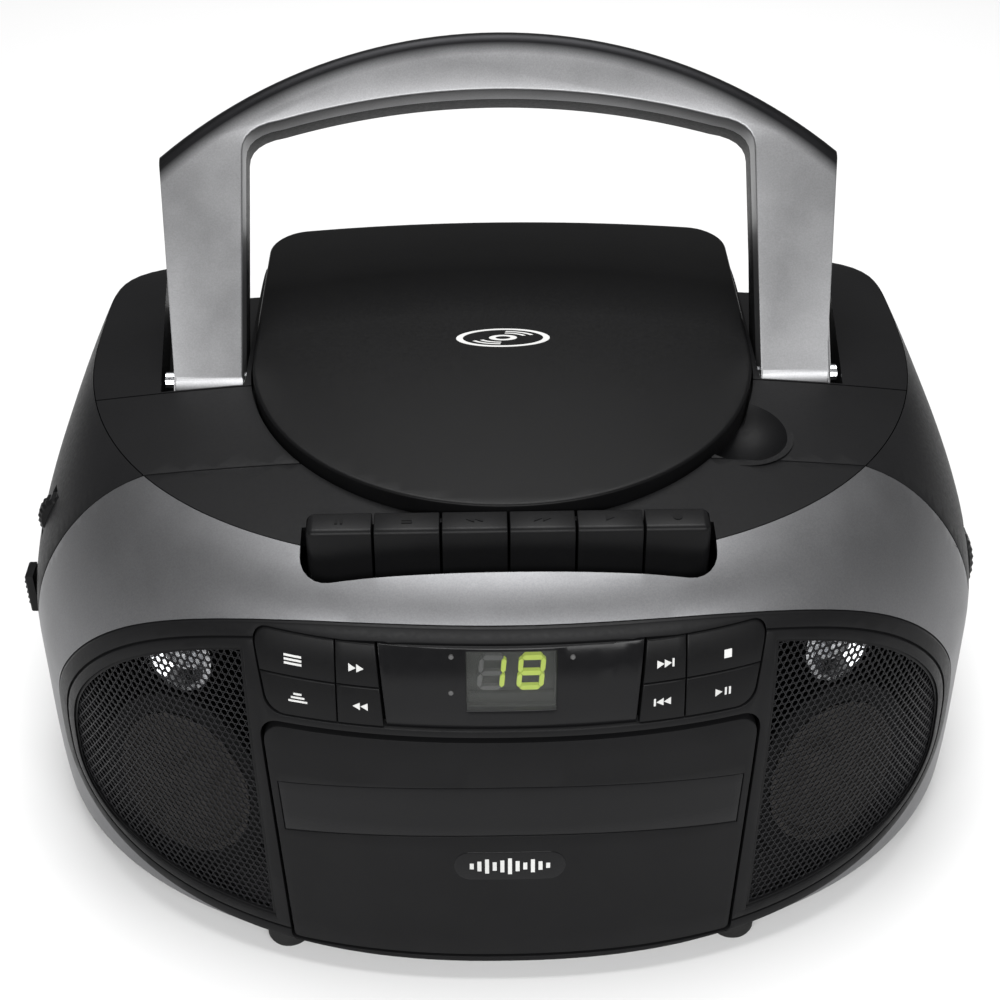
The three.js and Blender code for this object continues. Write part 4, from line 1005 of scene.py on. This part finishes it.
# ------------------------------------------------------------------ on top
def lid():
    flat = raised(lid_face(0), 0, 10)
    soften(flat, 1.1, lambda e: all(v.co.z > 9.9 for v in e.verts), segments=4)
    flat = without(spare(flat), column(lid_face(-2.5), -1, 7.5))
    bm = back_to_bmesh(flat)
    tidy_flat(bm)
    reach = LID_RADIUS
    sliced(bm, 0, [reach * math.sin(i / 16 * math.pi / 2) for i in range(-15, 16)])
    sliced(bm, 1, [LID_Y - reach + (LID_REAR - LID_Y + reach) * i / 40 for i in range(1, 40)])
    for vertex in bm.verts:
        x, y, z = vertex.co
        vertex.co.z = 129.5 + z / 10 * (lid_top(x, y) - 129.5)
    piece("disc_lid_shell", bm, LOOK["lid"], "disc_lid", "black_lid", ["disc_lid"])
    clamp = spun([(0, 0), (14, 0), (15, 1), (15, 2), (9, 2.2), (8, 5), (0, 5)], 64)
    clamp = shifted(clamp, 0, LID_Y, 131.5)
    piece("disc_clamp", clamp, LOOK["cabinet"], "disc_lid", "black_lid")
    lid_mark()


def lid_mark():
    """A ring, a hub and two arcs: a plain sign for a disc."""
    marks = bmesh.new()

    def sector(inner, outer, start, end, count):
        turn = [start + (end - start) * i / count for i in range(count + 1)]
        line = [(outer * math.cos(a), outer * math.sin(a)) for a in turn]
        line += [(inner * math.cos(a), inner * math.sin(a)) for a in turn[::-1]]
        return rounded([(0.3 + 1.55 * x, 32.7 + 0.52 * y) for x, y in line])
    for start in range(0, 360, 90):
        a0, a1 = math.radians(start), math.radians(start + 90)
        added(marks, raised(sector(8.6, 10, a0, a1, 16), 0, 1))
        added(marks, raised(sector(1.6, 3.0, a0, a1, 10), 0, 1))
    for start in (25, 205):
        a0, a1 = math.radians(start), math.radians(start + 60)
        added(marks, raised(sector(4.6, 5.4, a0, a1, 12), 0, 1))
        added(marks, raised(sector(6.4, 7.2, a0, a1, 12), 0, 1))
    sliced(marks, 0, [2 * i for i in range(-8, 9)])
    sliced(marks, 1, [27 + 1.5 * i for i in range(9)])
    for vertex in marks.verts:
        x, y, z = vertex.co
        vertex.co.z = lid_top(x, y) + (0.05 if z > 0.5 else -0.4)
    piece("disc_sign", marks, LOOK["print"], "disc_lid", "black_lid")


KEY_ORDER = ("pause", "stop_eject", "rewind", "fast_forward", "play", "record")
KEY_SIGNS = {"pause": "pause", "stop_eject": "eject", "rewind": "rewind", "fast_forward": "forward",
             "play": "play", "record": "record"}


def key_profile():
    """The key's side view, turned to run along X."""
    low = KEY["top"] - KEY["tall"]
    corners = [(KEY["rear"], KEY["top"], 1), (KEY["rear"], low), (KEY["foot"], low), (KEY["foot"], 121, 3),
               (KEY["front"], KEY["top"] - 0.4, 1.6)]
    return rounded(corners, 5)


def keys():
    for i, name in enumerate(KEY_ORDER):
        x0 = (i - 3) * KEY["pitch"] + KEY["gap"] / 2
        x1 = x0 + KEY["pitch"] - KEY["gap"]
        bm = raised(key_profile(), x0, x1)
        turn = Matrix(((0, 0, 1, 0), (1, 0, 0, 0), (0, 1, 0, 0), (0, 0, 0, 1)))
        bmesh.ops.transform(bm, verts=bm.verts, matrix=turn)
        bmesh.ops.recalc_face_normals(bm, faces=bm.faces)
        low = KEY["top"] - KEY["tall"]
        ends = {0: x0, 5: x1}.get(i)

        def side_edge(edge):
            return (abs(edge.verts[0].co.x - edge.verts[1].co.x) < 0.01
                    and all(v.co.z > low + 1 for v in edge.verts)
                    and any(abs(f.normal.x) > 0.9 for f in edge.link_faces))
        if ends is not None:
            soften(bm, 2.2, lambda e: side_edge(e) and abs(e.verts[0].co.x - ends) < 0.01, segments=5)
            soften(bm, 0.35, lambda e: side_edge(e) and abs(e.verts[0].co.x - ends) > 5, segments=2)
        else:
            soften(bm, 0.35, side_edge, segments=2)
        body = f"{name}_key"
        piece(f"{body}_cap", bm, LOOK["key"], body, "black_button", [body])
        key_sign(body, KEY_SIGNS[name], (x0 + x1) / 2)


def key_sign(body, kind, x):
    """A raised sign on the key's top."""
    marks = bmesh.new()
    for outline in symbol_parts(kind, 1.1):
        flat = rounded([(x + px, (KEY["rear"] + KEY["front"]) / 2 + 0.4 + pz) for px, pz in outline])
        added(marks, raised(flat, 134.4, KEY["top"] - 0.02))
    piece(f"{body}_sign", marks, LOOK["key"], body, "black_button")


# ------------------------------------------------------------------ handle
HANDLE = {"y": 31.5, "z": 127.5, "lean": math.radians(42), "thick": 20, "leg_outer": 108, "leg_inner": 85.6,
          "shoulder_x": 113.5, "shoulder": 75, "top": 117, "grip_top": 96, "grip_side": 86, "grip_half": 73,
          "pin": 3.3}


def arc_over(half, low, high, count):
    """Points from left to right along the arc through (-half, low), (0, high) and (half, low)."""
    rise = high - low
    radius = (half ** 2 + rise ** 2) / (2 * rise)
    spread = math.asin(half / radius)
    turns = [-spread + 2 * spread * i / count for i in range(count + 1)]
    return [(radius * math.sin(t), high - radius + radius * math.cos(t)) for t in turns]


def corner_curve(side):
    """The grip's inside corner, from the leg up to the grip."""
    inner, start, end = HANDLE["leg_inner"], HANDLE["grip_side"] - 10, HANDLE["grip_half"]
    points = []
    for i in range(1, 7):
        t = i / 6
        x = (1 - t) ** 2 * inner + 2 * t * (1 - t) * inner + t ** 2 * end
        z = (1 - t) ** 2 * start + 2 * t * (1 - t) * (HANDLE["grip_side"] - 2) + t ** 2 * HANDLE["grip_side"]
        points.append((side * x, z))
    return points


def bow_face():
    outer, inner = HANDLE["leg_outer"], HANDLE["leg_inner"]
    crown = arc_over(HANDLE["shoulder_x"], HANDLE["shoulder"], HANDLE["top"], 48)
    grip = arc_over(HANDLE["grip_half"], HANDLE["grip_side"], HANDLE["grip_top"], 40)
    line = [(-outer, 0), (-inner, 0), (-inner, HANDLE["grip_side"] - 10)] + corner_curve(-1) + grip[1:-1]
    line += corner_curve(1)[::-1] + [(inner, HANDLE["grip_side"] - 10), (inner, 0), (outer, 0)]
    return rounded(line + crown[::-1])


def handle():
    whole = through(bow_face(), -HANDLE["thick"] / 2, HANDLE["thick"] / 2)
    for side in (-1, 1):
        low, high = sorted((side * HANDLE["leg_outer"], side * HANDLE["leg_inner"]))
        whole = combined(whole, spare(bar("X", HANDLE["thick"] / 2, low, high)), "UNION")
    whole = combined(whole, spare(bar("X", HANDLE["pin"] + GAP, -120, 120)))
    front = combined(copied(whole), spare(block(-200, 200, -50, -GAP / 2, -50, 200)), "INTERSECT")
    back = combined(whole, spare(block(-200, 200, GAP / 2, 50, -50, 200)), "INTERSECT")
    for name, form, face_y, look, slot, node in (
            ("handle_face", front, -HANDLE["thick"] / 2, "handle", "charcoal_cabinet", "handle_front"),
            ("handle_rear", back, HANDLE["thick"] / 2, "cabinet", "black_cabinet", "handle_back")):
        bm = tidy_flat(back_to_bmesh(form))

        def crown_edge(edge):
            middle = (edge.verts[0].co + edge.verts[1].co) / 2
            arch = HANDLE["grip_top"] + 1 - 26 * (abs(middle.x) / HANDLE["shoulder_x"]) ** 2
            return (all(abs(v.co.y - face_y) < 0.02 for v in edge.verts)
                    and middle.z > max(arch, HANDLE["shoulder"] + 1))

        def face_edge(edge):
            return all(abs(v.co.y - face_y) < 0.02 for v in edge.verts)
        soften(bm, 4.2, crown_edge, segments=6, angle=50)
        soften(bm, 0.7, face_edge, segments=3, angle=50)
        bmesh.ops.rotate(bm, verts=bm.verts, cent=(0, 0, 0), matrix=Matrix.Rotation(-HANDLE["lean"], 3, "X"))
        shifted(bm, 0, HANDLE["y"], HANDLE["z"])
        piece(name, bm, LOOK[look], "handle", slot, [node])


# ------------------------------------------------------------------ sides and back
def wheel_form(wheel, notches):
    """A knurled wheel about Z, level with the ground."""
    r, half = wheel["radius"] - 0.2, wheel["thick"] / 2
    bm = spun([(wheel["bore"], -half), (r - 1.4, -half), (r - 0.5, -half + 0.5), (r, -half + 1.2),
               (r, half - 1.2), (r - 0.5, half - 0.5), (r - 1.4, half), (wheel["bore"], half),
               (wheel["bore"], -half)], notches * 4)
    for vertex in bm.verts:
        reach = math.hypot(vertex.co.x, vertex.co.y)
        if reach > r - 0.6:
            turn = math.atan2(vertex.co.y, vertex.co.x) * notches
            vertex.co.xy *= 1 - 0.45 / r * (0.5 - 0.5 * math.cos(turn))
    bmesh.ops.recalc_face_normals(bm, faces=bm.faces)
    return bm


def wheels():
    for name, side, wheel, notches in (("volume_wheel", -1, WHEEL, 28), ("tuning_dial", 1, DIAL, 60)):
        bm = wheel_form(wheel, notches)
        bmesh.ops.rotate(bm, verts=bm.verts, cent=(0, 0, 0), matrix=Matrix.Rotation(math.pi / 2, 3, "X"))
        edge = side_skin(wheel["y"], wheel["z"])
        shifted(bm, side * (edge + wheel["proud"] - wheel["radius"]), wheel["y"], wheel["z"])
        piece(f"{name}_rim", bm, LOOK["key"], name, "soft_knob", [name])


def sliders():
    for name, (side, y, z) in SWITCHES.items():
        tall, width = SLIDER["tall"], SLIDER["width"]
        face = max(side_skin(y + width / 2 * i, z + tall / 2 * j) for i in (-1, 0, 1) for j in (-1, 0, 1))
        cap = block(face + GAP, face + SLIDER["proud"] - 0.5, y - width / 2, y + width / 2, z - tall / 2,
                    z + tall / 2)
        soften(cap, 0.7, lambda e: all(v.co.x > face + 2 for v in e.verts), segments=3)
        stem = SLIDER["stem"] / 2
        reach = SLIDER["slot"] / 2
        added(cap, block(face - WALL - 4, face + 1, y - stem, y + stem, z - reach, z + reach))
        for i in range(-2, 3):
            rib = block(face + 1, face + SLIDER["proud"] - 0.05, y - width / 2 + 0.9, y + width / 2 - 0.9,
                        z + 2.2 * i - 0.45, z + 2.2 * i + 0.45)
            added(cap, soften(rib, 0.2, None))
        if side < 0:
            cap = mirrored_copy(cap)
        piece(f"{name}_cap", cap, LOOK["key"], name, "soft_knob", [name])


def feet():
    for where, x, y in (("front_left", -70.7, -95), ("front_right", 70.7, -95), ("rear_left", -84, 86),
                        ("rear_right", 84, 86)):
        profile = [(0, 0.5), (3.4, 0.5), (4, 0), (6, 0), (6.7, 0.3), (7, 1), (7, 4.4), (6.6, 5.7), (0, 5.7)]
        pad = shifted(spun(profile, 48), x, y, 0)
        piece(f"{where}_rubber_foot", pad, LOOK["rubber"], "case", "rubber_foot", [f"{where}_foot"])


def battery_cover():
    half, low, high = BATTERY["half"], BATTERY["low"], BATTERY["high"]
    cover = combined(combined(body_form(), body_form(WALL)), spare(block(-half, half, 80, 130, low, high)),
                     "INTERSECT")
    ridges = bmesh.new()
    for i in range(5):
        added(ridges, block(-14 + i, 14 - i, 80, 111.2, high - 6.5 - 2 * i, high - 5.7 - 2 * i))
    cover = without(cover, combined(spare(ridges), body_form(0.6)))
    piece("battery_cover", cover, LOOK["cabinet"], "battery_door", "black_cabinet", ["battery_door"])


def sockets():
    """The mains inlet with its two pins, and the headphone socket with its ring."""
    face = rear_skin(INLET["x"], INLET["z"])
    w, h = INLET["width"] / 2, INLET["tall"] / 2
    shell = bmesh.new()
    added(shell, block(INLET["x"] - w, INLET["x"] + w, face - 15, face + 1, INLET["z"] - h, INLET["z"] + h))
    shell = combined(spare(soften(shell, 1.0, lambda e: abs(e.verts[0].co.y - e.verts[1].co.y) > 1,
                                  segments=3)),
                     spare(block(INLET["x"] - w + 2.5, INLET["x"] + w - 2.5, face - 9, face + 5,
                                 INLET["z"] - h + 2.5, INLET["z"] + h - 2.5)))
    piece("mains_inlet_shroud", shell, LOOK["cabinet"], "case", "black_cabinet", ["mains_inlet"])
    pins = bmesh.new()
    for side in (-1, 1):
        pin = bar("Y", 1.15, face - 9.2, face - 1.5, 20)
        added(pins, shifted(pin, INLET["x"] + 3.5 * side, 0, INLET["z"]))
    piece("mains_inlet_pins", pins, LOOK["steel"], "case", "bright_metal")
    face = rear_skin(JACK["x"], JACK["z"])
    ring = spun([(1.75, 12), (1.75, -0.6), (2.3, -1), (5.4, -1), (6, -0.4), (6, 14), (1.75, 14),
                 (1.75, 12)], 48)
    bmesh.ops.rotate(ring, verts=ring.verts, cent=(0, 0, 0), matrix=Matrix.Rotation(math.pi / 2, 3, "X"))
    ring = shifted(ring, JACK["x"], face, JACK["z"])
    piece("headphone_socket_ring", ring, LOOK["steel"], "case", "bright_metal", ["headphone_jack"])


def screws():
    """Low round screw heads in the back's corners."""
    heads = bmesh.new()
    for x, z in ((-118, 108), (118, 108), (-128, 22), (128, 22), (0, 112)):
        head = spun([(0, -0.6), (2.6, -0.6), (3, -0.2), (3, 0.7), (0, 0.7)], 28)
        turn = Matrix.Rotation(-math.pi / 2, 3, "X")
        bmesh.ops.rotate(head, verts=head.verts, cent=(0, 0, 0), matrix=turn)
        added(heads, shifted(head, x, rear_skin(x, z) - 0.6, z))
    piece("back_screws", heads, LOOK["key"], "case", "black_cabinet")


# ------------------------------------------------------------------ nodes kept from the frame
KEPT = {
    "black_deck": "dark", "black_cabinet": "cabinet", "charcoal_cabinet": "silver", "black_lid": "lid",
    "black_bezel": "bezel", "black_button": "key", "gloss_panel": "gloss", "smoked_window": "clear",
    "lit_digits": "lamp", "grille_mesh": "mesh", "soft_knob": "key", "rubber_foot": "rubber",
    "bright_metal": "steel", "paper_cone": "cone", "circuit_board": "board",
}


SLOT_OF = {part["node"]: part["material_slot"] for part in frame["record"]["subparts"]}


def kept_nodes():
    for name, thing in frame["nodes"].items():
        for holder in thing.material_slots:
            holder.material = LOOK[KEPT[SLOT_OF[name]]]


# ------------------------------------------------------------------ camera, floor and light
def camera():
    data = bpy.data.cameras.new("camera")
    view = bpy.data.objects.new("camera", data)
    bpy.context.scene.collection.objects.link(view)
    view.location = (-0.00997, -0.44914, 0.43840)
    aim = Vector((0, -0.010, 0.1074)) - view.location
    view.rotation_euler = aim.to_track_quat("-Z", "Y").to_euler()
    data.sensor_width = 36
    data.lens = 61.2
    data.shift_x = -0.005
    bpy.context.scene.camera = view


def floor():
    bm = bmesh.new()
    bmesh.ops.create_grid(bm, x_segments=8, y_segments=8, size=4)
    mesh = bpy.data.meshes.new("floor")
    bm.to_mesh(mesh)
    bm.free()
    ground = bpy.data.objects.new("floor", mesh)
    bpy.context.scene.collection.objects.link(ground)
    finish = Finish("pale floor", (0.72, 0.72, 0.72), 0.8)
    finish.tint(finish.noise(3, 2), 0.995, 1.005)
    mesh.materials.append(finish.material)


def light(name, size, power_watts, place, target):
    data = bpy.data.lights.new(name, "AREA")
    data.shape = "RECTANGLE"
    data.size, data.size_y = size
    data.energy = power_watts
    lamp = bpy.data.objects.new(name, data)
    lamp.location = place
    lamp.rotation_euler = (Vector(target) - Vector(place)).to_track_quat("-Z", "Y").to_euler()
    bpy.context.scene.collection.objects.link(lamp)


def lighting():
    world = bpy.data.worlds.new("studio")
    world.use_nodes = True
    world.node_tree.nodes["Background"].inputs["Color"].default_value = (1, 1, 1, 1)
    world.node_tree.nodes["Background"].inputs["Strength"].default_value = 0.2
    bpy.context.scene.world = world
    light("front softbox", (2.2, 0.5), 36, (0, -1.35, 1.05), (0, 0, 0.07))
    light("top softbox", (1.0, 1.0), 30, (0, 0.45, 1.6), (0, 0, 0.07))
    bpy.context.scene.view_settings.view_transform = "Standard"
    bpy.context.scene.view_settings.look = "None"


camera()
decks(cabinets())
bezel()
grilles()
cassette_door()
buttons()
display()
lid()
keys()
handle()
wheels()
sliders()
feet()
battery_cover()
sockets()
screws()
kept_nodes()
floor()
lighting()
